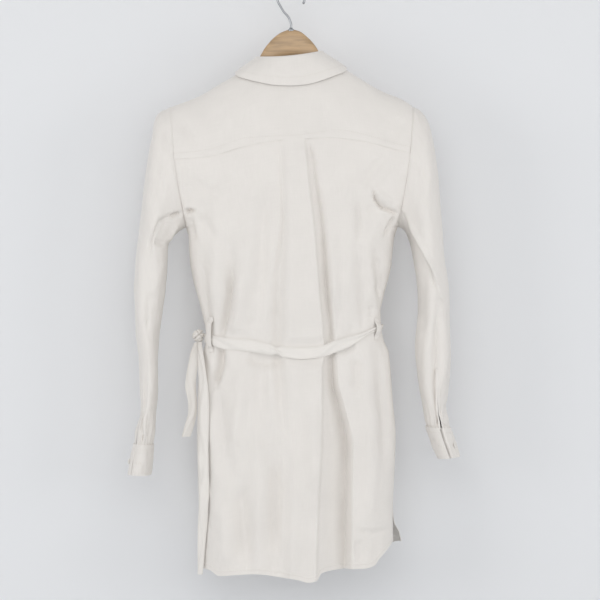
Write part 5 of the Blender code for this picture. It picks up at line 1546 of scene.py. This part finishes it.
@dataclass
class Sleeve:
    """A long sleeve with its slit, and the cuff that hangs open at the slit."""

    side: Side
    steps: int = 13
    around: int = 156
    cuff_wall: float = 1.8
    crease_gain: float = 1.5
    wrinkle: float = 1.3
    seed: int = 40
    gathers: int = 17
    gather_rise: float = 0.9
    cuff_wrinkle: float = 2.9
    cuff_seed: int = 60
    underarm_ease: float = 0.3
    overlap: float = 1.2
    top_lift: float = 0.7
    tuck: float = 2.1
    underlap: float = 0.45
    underlap_steps: int = 26
    underlap_depth: float = 5.5

    @property
    def rings(self) -> tuple:
        """The sleeve's table."""
        return LEFT_SLEEVE if self.side is Side.LEFT else RIGHT_SLEEVE

    @property
    def creases(self) -> tuple[tuple[Crease, ...], tuple[Crease, ...]]:
        """Creases of the back half and of the front half."""
        if self.side is Side.LEFT:
            return LEFT_SLEEVE_BACK, LEFT_SLEEVE_FRONT
        return RIGHT_SLEEVE_BACK, RIGHT_SLEEVE_FRONT

    @staticmethod
    def ring_points(ring: Ring, turns: np.ndarray) -> np.ndarray:
        """Points round one ring; turn 0 is outside and a quarter turn is to the back."""
        outer = np.array([ring.outer_x, 0.0, -ring.outer_down])
        inner = np.array([ring.inner_x, 0.0, -ring.inner_down])
        back = np.array([0.0, ring.depth, 0.0])
        middle, half = (outer + inner) / 2, (outer - inner) / 2
        return middle + np.cos(turns)[:, None] * half + np.sin(turns)[:, None] * back

    def turns_at(self, share: float) -> np.ndarray:
        """Angles round a ring, from one edge of the slit to the other.

        Args:
            share: How far the slit is open there, from 0 to 1.

        Returns:
            The angles.
        """
        opening = SLIT_OPENING[self.side.value] * share
        start = SLIT_ANGLE[self.side.value] + opening / 2
        return start + np.linspace(0, 1, self.around + 1) * (2 * math.pi - opening)

    def build_sleeve(self) -> bpy.types.Object:
        """Build the sleeve, its slit bands and its stitching, and return it."""
        side = self.side.value
        turns = self.turns_at(0.0)
        down = ARM_MIDDLE - (ARM_MIDDLE - ARM_TOP) * np.cos(turns)
        depth = ARM_DEPTH * np.sin(turns)
        under = np.clip((down - ARM_MIDDLE) / (ARM_BOTTOM - ARM_MIDDLE), 0, 1)
        gap = SEAM_GAP + self.underarm_ease * under**4
        points = [np.stack([DressForm.armhole_x(side, down) + side * gap, depth, -down], axis=-1)]
        last = len(self.rings) - 1
        for k, ring in enumerate(self.rings):
            share = 0.5 * max(0.0, (k - last + SLIT_RINGS) / SLIT_RINGS) ** 3
            points.append(self.ring_points(ring, self.turns_at(share)))
        points = finer(np.array(points), self.steps)
        row = np.arange(len(points))[:, None]
        middle = points[:, :-1].mean(axis=1, keepdims=True)
        plain = facing(grid_normals(points, closed=True), points - middle)
        x, height = points[..., 0], -points[..., 2]
        behind = rise(0.5 + points[..., 1] / 36)
        back, front = self.creases
        relief = crease_relief(back, x, height) * behind + crease_relief(front, x, height) * (1 - behind)
        wrinkles = crumple(x + 0.8 * points[..., 1], height, self.seed + side, self.wrinkle, 1.5)
        relief = self.crease_gain * relief + wrinkles
        calm = rise(row / 6) * (0.15 + 0.85 * rise((len(points) - 1 - row) / 10))
        gathers = np.sin(np.arange(self.around + 1)[None, :] * 2 * math.pi / self.around * self.gathers)
        near_cuff = rise((row - len(points) + 34) / 26) * rise((len(points) - 1 - row) / 4 + 0.25)
        relief = relief * calm + self.gather_rise * gathers * near_cuff
        relief = relief - self.tuck * rise((row - len(points) + 11) / 9)
        edge = np.minimum(np.arange(self.around + 1), self.around - np.arange(self.around + 1))[None, :]
        slit = (row > len(points) - 1 - self.steps * SLIT_RINGS) & (edge < 5)
        relief = np.where(slit, 0.35 * relief + 0.5, relief)
        grid = ClothGrid(points, plain, closed=True).raised(relief)
        grid.outward[0] = DressForm.armhole_normal(side, down, depth)
        word = self.side.word
        piece = hung_sheet(f"dress_sleeve_{word}", f"sleeve_{word}", grid)
        lower = slice(len(points) - self.steps * (SLIT_RINGS - 1), None)
        sew(f"stitching_sleeve_{word}", grid, 3, (lower, 4), (lower, -5))
        return piece

    def build_cuff(self) -> bpy.types.Object:
        """Build the cuff with its stitching, button and buttonhole, and return it."""
        rings = LEFT_CUFF if self.side is Side.LEFT else RIGHT_CUFF
        turns = self.turns_at(1.0)
        under = np.linspace(0, SLIT_OPENING[self.side.value] + self.underlap, self.underlap_steps + 1)[1:]
        turns = np.concatenate([turns, turns[-1] + under])
        points = finer(np.array([self.ring_points(ring, turns) for ring in rings]), 10)
        points[0] -= self.overlap * (points[1] - points[0])
        outward = unit(points - points.mean(axis=1, keepdims=True))
        past = np.maximum(np.arange(len(turns)) - self.around, 0)
        inset = self.underlap_depth * rise(past / (0.45 * self.underlap_steps))[None, :]
        x, height = points[..., 0], -points[..., 2]
        row = np.arange(len(points))[:, None]
        edges = rise(row / 2 + 0.2) * rise((len(points) - 1 - row) / 2 + 0.2)
        relief = crumple(x + 0.8 * points[..., 1], height, self.cuff_seed + self.side.value, 1.0, 1.0)
        relief = self.cuff_wrinkle * relief * (1 - rise(past / 6)) * rise(row / 6)
        relief = relief + self.top_lift * (1 - rise((row - 1) / 5))
        grid = ClothGrid(points, outward).raised(relief - 0.5 * (1 - edges) - inset)
        word = self.side.word
        piece = hung_sheet(f"dress_cuff_{word}", f"cuff_{word}", grid, self.cuff_wall)
        seams = Stitching(f"stitching_cuff_{word}")
        seen, height_rows = slice(3, self.around), slice(2, -2)
        for at in ((2, seen), (-3, seen), (height_rows, 3), (height_rows, self.around - 3)):
            seams.along(grid, at)
        hole = grid.points[8:14, 12]
        along = unit(grid.points[11, 16] - grid.points[11, 8])
        for shift in (-0.7, 0.7):
            ends = np.array([hole[3] - along * 5.5, hole[3] + along * 5.5]) + np.array([0.0, 0.0, shift])
            seams.run(ends + 0.2 * grid.outward[11, 12], np.array([grid.outward[11, 12]] * 2))
        seams.finish()
        at = self.around - 14
        spot = Vector((grid.points[11, at] + grid.outward[11, at] * 1.3) * MM)
        Button(f"dress_cuff_button_{word}", spot, Vector(grid.outward[11, at]), 4.6, 2.0).build()
        return piece

    def build(self) -> None:
        """Build the sleeve and its cuff."""
        self.build_sleeve()
        self.build_cuff()


@dataclass
class TieBelt:
    """Tie belt: the band round the waist, its knot, its two free ends and its loops."""

    tie_y: float = 4.5
    gap: float = 1.2
    wall: float = 1.5
    knot: tuple[float, float, float] = (159.0, 0.0, 605.0)
    knot_radius: float = 11.0
    twist_x: float = 24.0
    cover: float = 3.4
    loop_wall: float = 1.0
    loop_half_width: float = 3.4

    def course(self, count: int) -> np.ndarray:
        """Angles round the waist, evenly spaced along it, from behind the knot to before it."""
        middle = through(SECTIONS, "down", "back", BELT_DOWN)
        start = math.asin((self.tie_y / middle) ** (SIDE_POWER / 2))
        fine = np.linspace(start, 2 * math.pi - start, 6001)
        power = 2 / SIDE_POWER
        half_width = DressForm.side_x(1, np.array(BELT_DOWN), 1)
        x = half_width * np.sign(np.cos(fine)) * np.abs(np.cos(fine)) ** power
        y = middle * np.sign(np.sin(fine)) * np.abs(np.sin(fine)) ** power
        length = np.concatenate([[0.0], np.cumsum(np.hypot(np.diff(x), np.diff(y)))])
        return np.interp(np.linspace(0, length[-1], count), length, fine)

    def build_band(self) -> bpy.types.Object:
        """Build the band with its small twist at the back, and return it."""
        turn = self.course(385)
        behind = np.sin(turn) >= 0
        power = 2 / SIDE_POWER
        across = np.sign(np.cos(turn)) * np.abs(np.cos(turn)) ** power
        rows = []
        for share in np.linspace(0, 1, 13):
            down = np.full(len(turn), BELT_DOWN)
            for _ in range(4):
                left = DressForm.side_x(1, down, 1)
                right = DressForm.side_x(-1, down, 1)
                x = (left + right) / 2 + (left - right) / 2 * across
                high, low = (
                    np.where(behind, through(BELT_BACK, "x", edge, x), through(BELT_FRONT, "x", edge, x))
                    for edge in ("top", "bottom")
                )
                pinch = 0.3 * np.exp(-(((x - self.twist_x) / 7) ** 2)) * behind
                at = 0.5 + (share - 0.5) * (1 - pinch)
                down = high * (1 - at) + low * at
            back, front = (through(SECTIONS, "down", face, down) for face in ("back", "front"))
            y = np.where(behind, back, -front) * np.abs(np.sin(turn)) ** power
            rows.append(np.stack([x, y, -down], axis=-1))
        plain = np.array(rows)
        tangent = np.gradient(plain, axis=1)
        outward = unit(np.stack([tangent[..., 1], -tangent[..., 0], 0 * tangent[..., 0]], axis=-1))
        outward = facing(outward, plain * np.array([1.0, 1.0, 0.0]))
        share = np.linspace(-1, 1, 13)[:, None]
        x = plain[..., 0]
        over = np.where(plain[..., 1] < 0, self.cover * rise((78 - np.abs(x)) / 45), 0.0)
        run = np.arange(len(turn))[None, :] * 2.0
        crest = share + 0.9 * np.sin(run / 47 + 1.1) + 0.5 * np.sin(run / 19)
        folds = 1.2 * np.exp(-((crest / 0.45) ** 2)) - 0.9 * np.exp(-(((crest - 0.9) / 0.35) ** 2))
        twist = np.exp(-(((x - self.twist_x) / 9) ** 2)) * (plain[..., 1] > 0)
        ridge = 2.6 * twist * np.exp(-(((share * 8 + (x - self.twist_x) * 0.9) / 3.5) ** 2))
        ends = rise((run - 4) / 14) * rise((run[0, -1] - 4 - run) / 14)
        lift = self.gap + self.wall + over + (0.9 * (1 - share**2) + folds + ridge + 1.4 * twist) * ends
        points = plain + outward * lift[..., None]
        grid = ClothGrid(points, facing(grid_normals(points), outward))
        piece = hung_sheet("belt_band_cloth", "belt_band", grid, self.wall, BELT_COTTON)
        sew("stitching_belt", grid, 1, -2)
        return piece

    def build_knot(self) -> bpy.types.Object:
        """Build the knot: two thick turns of the belt with a deep crease between them."""
        bm = bmesh.new()
        bmesh.ops.create_uvsphere(bm, u_segments=72, v_segments=48, radius=self.knot_radius)
        for vert in bm.verts:
            here = vert.co.copy()
            way = here.normalized()
            crease = here.z + 0.75 * here.x - 0.12 * here.y
            second = here.z - 1.1 * here.x - 6.5
            third = here.z + 0.35 * here.x + 7.2
            grooves = (
                (crease, 1.6, -3.8), (second, 1.2, -2.2), (third, 1.0, -1.1),
                (crease - 4.2, 2.4, 0.7), (crease + 4.4, 2.4, 0.6),
            )
            push = sum(height * math.exp(-((off / width) ** 2)) for off, width, height in grooves)
            push += 0.35 * math.sin(1.9 * crease + 0.6 * here.x)
            vert.co = (here + way * push) * Vector((0.95, 0.95, 1.0))
            vert.co = (vert.co + Vector((self.knot[0], self.knot[1], -self.knot[2]))) * MM
        flat = bm.loops.layers.uv.new("cloth")
        for face in bm.faces:
            for loop in face.loops:
                loop[flat].uv = (loop.vert.co.x + 0.4 * loop.vert.co.y, loop.vert.co.z + 0.3 * loop.vert.co.y)
        piece = add_piece("belt_knot_cloth", bm, BELT_COTTON)
        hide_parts("belt_knot")
        return piece

    def build_tail(self, name: str, node: str, table: tuple, seed: int) -> bpy.types.Object:
        """Build a free end of the belt.

        Args:
            name: Name of the piece.
            node: CAD node that it stands for.
            table: Its middle line, widths and turns.
            seed: Start of its wrinkles.

        Returns:
            The piece.
        """
        rows = finer(np.array(table, float), 9)
        middle = rows[:, :3] * np.array([1.0, 1.0, -1.0])
        turn = np.radians(rows[:, 4])
        across = np.stack([np.cos(turn), -np.sin(turn), 0 * turn], axis=-1)
        outward = np.stack([np.sin(turn), np.cos(turn), 0 * turn], axis=-1)
        share = np.linspace(-1, 1, 13)
        points = middle[:, None] + across[:, None] * (rows[:, 3] / 2)[:, None, None] * share[None, :, None]
        v = rows[:, 2][:, None] + 0 * share[None, :]
        u = share[None, :] * 8 + 0 * v
        crest = share[None, :] + 0.7 * np.sin(v / 23 + seed)
        height = 1.5 * (1 - share[None, :] ** 2) + 1.1 * np.exp(-((crest / 0.4) ** 2))
        height = height - 0.9 * np.exp(-(((crest - 0.8) / 0.3) ** 2)) + crumple(u, v, seed, 0.85)
        calm = rise((v - v[0]) / 10 + 0.2)
        grid = ClothGrid(points, np.broadcast_to(outward[:, None], points.shape)).raised(height * calm)
        piece = hung_sheet(name, node, grid, self.wall, BELT_COTTON)
        sew(f"stitching_{name}", grid, (WHOLE, 1), (WHOLE, -2), -3)
        return piece

    def build_loop(self, node: str, x: float, top: float, bottom: float) -> bpy.types.Object:
        """Build a loop at the side seam that the belt runs through.

        Args:
            node: CAD node that it stands for.
            x: Place across.
            top: Height of its upper end.
            bottom: Height of its lower end.

        Returns:
            The loop.
        """
        down = np.array([top, top + 6, top + 14, bottom - 14, bottom - 6, bottom])
        far = 1.6 + 2 * self.gap + self.wall
        stand = np.array([0.6, 0.6, far, far, 0.6, 0.6])
        places = np.linspace(-self.loop_half_width, self.loop_half_width, 6)
        across, height = np.meshgrid(x + places, finer(down, 6))
        plain = DressForm.body(across, height, 1)
        outward = facing(grid_normals(plain), np.array([0.3 * np.sign(x), 1.0, 0.0]))
        lift = finer(stand, 6)[:, None] + 0.3 * (1 - np.linspace(-1, 1, 6) ** 2)[None, :]
        grid = ClothGrid(plain, outward).raised(lift + 1.0)
        return hung_sheet(f"{node}_cloth", node, grid, self.loop_wall)

    def build(self) -> None:
        """Build every piece of the belt."""
        self.build_band()
        self.build_knot()
        self.build_tail("belt_short_end", "belt_tail_short", SHORT_TAIL, 71)
        self.build_tail("belt_long_end", "belt_tail_long", LONG_TAIL, 73)
        self.build_loop("belt_loop_left", 136, 572, 633)
        self.build_loop("belt_loop_right", -146, 574, 612)


@dataclass
class Hanger:
    """Wooden hanger with a steel hook and its small ferrule."""

    tip_gap: float = 5.0
    seat: float = 2.2
    around: int = 32
    wire: float = 1.9
    hook_radius: float = 24.0
    stem: tuple = ((0.0, -80.0), (0.0, -74.0), (0.0, -68.0), (4.5, -57.0), (13.0, -47.0))
    ferrule: tuple = (
        (0.0, -81.0), (5.2, -81.0), (5.6, -79.4), (5.2, -78.2), (3.4, -77.4), (2.8, -75.4), (2.2, -74.9),
        (0.0, -74.9),
    )

    def top(self, x: float) -> float:
        """Upper line of the hanger: a dome in the collar, then just under the yoke."""
        if abs(x) < NECK_HALF_WIDTH:
            return float(through(DOME, "x", "down", np.array(x)))
        return float(DressForm.shoulder(np.array(x))) + self.seat

    def build_wood(self) -> bpy.types.Object:
        """Sweep rounded sections from tip to tip, and return the wood."""
        left, right = ARM_TOP_X[1] - self.tip_gap, ARM_TOP_X[-1] + self.tip_gap
        places = np.concatenate([
            left - np.array([0.0, 0.7, 2.0, 4.0]), np.linspace(left - 8, 74, 26), np.linspace(68, -68, 61),
            np.linspace(-74, right + 8, 26), right + np.array([4.0, 2.0, 0.7, 0.0]),
        ])
        ends = np.ones(len(places))
        ends[:4] = (0.55, 0.78, 0.9, 0.97)
        ends[-4:] = ends[:4][::-1]
        turns = np.linspace(0, 2 * math.pi, self.around, endpoint=False)
        bm = bmesh.new()
        bmesh.ops.create_circle(bm, cap_ends=True, segments=self.around, radius=1)
        face = list(bm.faces)[0]
        for index, (x, end) in enumerate(zip(places, ends)):
            if index:
                made = bmesh.ops.extrude_face_region(bm, geom=[face], use_keep_orig=True)
                if index > 1:
                    bmesh.ops.delete(bm, geom=[face], context="FACES_ONLY")
                face = next(item for item in made["geom"] if isinstance(item, bmesh.types.BMFace))
            top = self.top(float(x))
            height, depth, forward = (
                float(through(HANGER_SECTION, "away", column, abs(x))) for column in Arm._fields[1:]
            )
            for loop, turn in zip(face.loops, turns):
                out = math.copysign(abs(math.cos(turn)) ** 0.8, math.cos(turn))
                up = math.copysign(abs(math.sin(turn)) ** 0.8, math.sin(turn))
                loop.vert.co = (
                    x * MM, (forward + depth * end * out) * MM, (height / 2 * (end * up - 1) - top) * MM,
                )
        piece = add_piece("wooden_hanger", bm, BEECH, sharp=60.0)
        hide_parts("hanger")
        return piece

    def build_hook(self) -> None:
        """Bend the wire from the hanger's top, up, round and over, and set its ferrule."""
        turn = np.radians(np.linspace(205, -25, 47))
        radius = self.hook_radius
        height = self.wire - radius + radius * np.sin(turn)
        arc = np.stack([-radius * np.cos(turn), 0 * turn, height], axis=-1)
        stem = np.array([(x, 0.0, z) for x, z in self.stem])
        course = np.concatenate([finer(np.concatenate([stem, arc[:1]]), 6)[:-1], arc])
        curve = bpy.data.curves.new("steel_hook", "CURVE")
        curve.dimensions = "3D"
        spline = curve.splines.new("POLY")
        spline.points.add(len(course) - 1)
        for point, place in zip(spline.points, course):
            point.co = (*(place * MM), 1.0)
        curve.bevel_depth = self.wire * MM
        curve.bevel_resolution = 5
        curve.use_fill_caps = True
        curve.materials.append(WIRE.material())
        piece = bpy.data.objects.new("steel_hook", curve)
        bpy.context.scene.collection.objects.link(piece)
        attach(piece, BODY)
        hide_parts("hook")
        tip = bmesh.new()
        bmesh.ops.create_uvsphere(tip, u_segments=20, v_segments=12, radius=self.wire * 1.25 * MM)
        bmesh.ops.translate(tip, verts=tip.verts, vec=Vector(course[-1] * MM))
        add_piece("steel_hook_tip", tip, WIRE)
        ring = bmesh.new()
        verts = [ring.verts.new((x * MM, 0.0, z * MM)) for x, z in self.ferrule]
        edges = [ring.edges.new(pair) for pair in zip(verts, verts[1:])]
        bmesh.ops.spin(
            ring, geom=verts + edges, cent=(0, 0, 0), axis=(0, 0, 1), angle=2 * math.pi, steps=32,
            use_merge=True,
        )
        bmesh.ops.remove_doubles(ring, verts=ring.verts, dist=1e-6)
        add_piece("steel_ferrule", ring, WIRE, sharp=35.0)

    def build(self) -> None:
        """Build the wood and the hook."""
        self.build_wood()
        self.build_hook()


# A large square light, turned to a point on the dress's upright middle line. Metres and watts.
Lamp = namedtuple("Lamp", "name place aim_z size power")


@dataclass
class Studio:
    """Plain pale wall and floor, soft light and the photograph's camera."""

    centre: tuple[float, float] = (-0.0155, -0.5435)
    frame_width: float = 1.032
    distance: float = 5.0
    wall_y: float = -0.12
    floor_z: float = -1.5
    wall_colour: tuple[float, float, float] = (0.765, 0.772, 0.785)
    floor_colour: tuple[float, float, float] = (0.66, 0.67, 0.68)
    sky_colour: tuple[float, float, float] = (0.985, 0.99, 1.0)
    sky_strength: float = 0.59
    lamps: tuple[Lamp, ...] = (
        Lamp("light_key", (0.4, 3.1, 0.3), -0.6, 1.6, 13.0),
        Lamp("light_fill", (-1.0, 3.2, 0.1), -0.6, 1.8, 11.0),
        Lamp("light_low", (0.0, 3.4, -1.2), -0.6, 1.4, 7.0),
        Lamp("light_left", (2.4, 1.7, -0.3), -0.55, 1.4, 16.5),
        Lamp("light_right", (-2.4, 1.7, -0.3), -0.55, 1.4, 13.5),
        Lamp("light_behind", (0.3, -2.4, 0.6), -0.5, 1.6, 22.0),
    )

    @staticmethod
    def plain_sheet(
        name: str, size: float, colour: tuple, turn: Matrix, see_through: bool = False
    ) -> bpy.types.Object:
        """Make a flat stage sheet.

        Args:
            name: Its name.
            size: Length of its side in metres.
            colour: Its colour.
            turn: Where it stands.
            see_through: True if it shows nothing from its back and casts no shadow.

        Returns:
            The sheet.
        """
        bm = bmesh.new()
        bmesh.ops.create_grid(bm, x_segments=4, y_segments=4, size=size / 2)
        bmesh.ops.transform(bm, matrix=turn, verts=bm.verts)
        mesh = bpy.data.meshes.new(name)
        bm.to_mesh(mesh)
        bm.free()
        paint = bpy.data.materials.new(name)
        paint.use_nodes = True
        wiring = Wiring(paint.node_tree)
        shader = paint.node_tree.nodes["Principled BSDF"]
        wiring.feed(shader, Base_Color=(*colour, 1.0), Roughness=0.95, Specular_IOR_Level=0.1)
        if see_through:
            back = wiring.node("NewGeometry").outputs["Backfacing"]
            shadow = wiring.node("LightPath").outputs["Is Shadow Ray"]
            mix = wiring.node("MixShader", Fac=wiring.sums("MAXIMUM", back, shadow))
            wiring.link(shader.outputs[0], mix.inputs[1])
            wiring.link(wiring.node("BsdfTransparent").outputs[0], mix.inputs[2])
            wiring.link(mix.outputs[0], paint.node_tree.nodes["Material Output"].inputs["Surface"])
        mesh.materials.append(paint)
        sheet = bpy.data.objects.new(name, mesh)
        bpy.context.scene.collection.objects.link(sheet)
        return sheet

    @staticmethod
    def hang(lamp: Lamp) -> None:
        """Hang a lamp and turn it to its point."""
        light = bpy.data.lights.new(lamp.name, "AREA")
        light.shape = "SQUARE"
        light.size = lamp.size
        light.energy = lamp.power
        made = bpy.data.objects.new(lamp.name, light)
        made.location = lamp.place
        ahead = Vector((0.0, 0.0, lamp.aim_z)) - Vector(lamp.place)
        made.rotation_euler = ahead.to_track_quat("-Z", "Y").to_euler()
        bpy.context.scene.collection.objects.link(made)

    def build(self) -> None:
        """Set the camera, the stage and the lights."""
        lens = bpy.data.cameras.new("camera")
        lens.lens = lens.sensor_width * self.distance / self.frame_width
        camera = bpy.data.objects.new("camera", lens)
        camera.location = (self.centre[0], self.distance, self.centre[1])
        camera.rotation_euler = (math.pi / 2, 0.0, math.pi)
        bpy.context.scene.collection.objects.link(camera)
        bpy.context.scene.camera = camera
        upright = Matrix.Translation((0.0, self.wall_y, -0.2)) @ Matrix.Rotation(-math.pi / 2, 4, "X")
        self.plain_sheet("stage_wall", 3.4, self.wall_colour, upright, see_through=True)
        level = Matrix.Translation((0.0, 0.0, self.floor_z))
        self.plain_sheet("stage_floor", 12.0, self.floor_colour, level)
        world = bpy.data.worlds.new("soft_room")
        world.use_nodes = True
        sky = world.node_tree.nodes["Background"]
        sky.inputs["Color"].default_value = (*self.sky_colour, 1.0)
        sky.inputs["Strength"].default_value = self.sky_strength
        bpy.context.scene.world = world
        bpy.context.scene.view_settings.view_transform = "Standard"
        for lamp in self.lamps:
            self.hang(lamp)


def main() -> None:
    """Build the studio, the hanger, the dress and its belt."""
    logging.basicConfig(level=logging.INFO, format="%(name)s %(message)s")
    Studio().build()
    Hanger().build()
    Yoke().build()
    BackPanel().build()
    for side in (Side.LEFT, Side.RIGHT):
        FrontPanel(side).build()
    ButtonBand().build()
    Collar().build()
    for side in (Side.LEFT, Side.RIGHT):
        Sleeve(side).build()
    TieBelt().build()


if __name__ == "__main__":
    main()
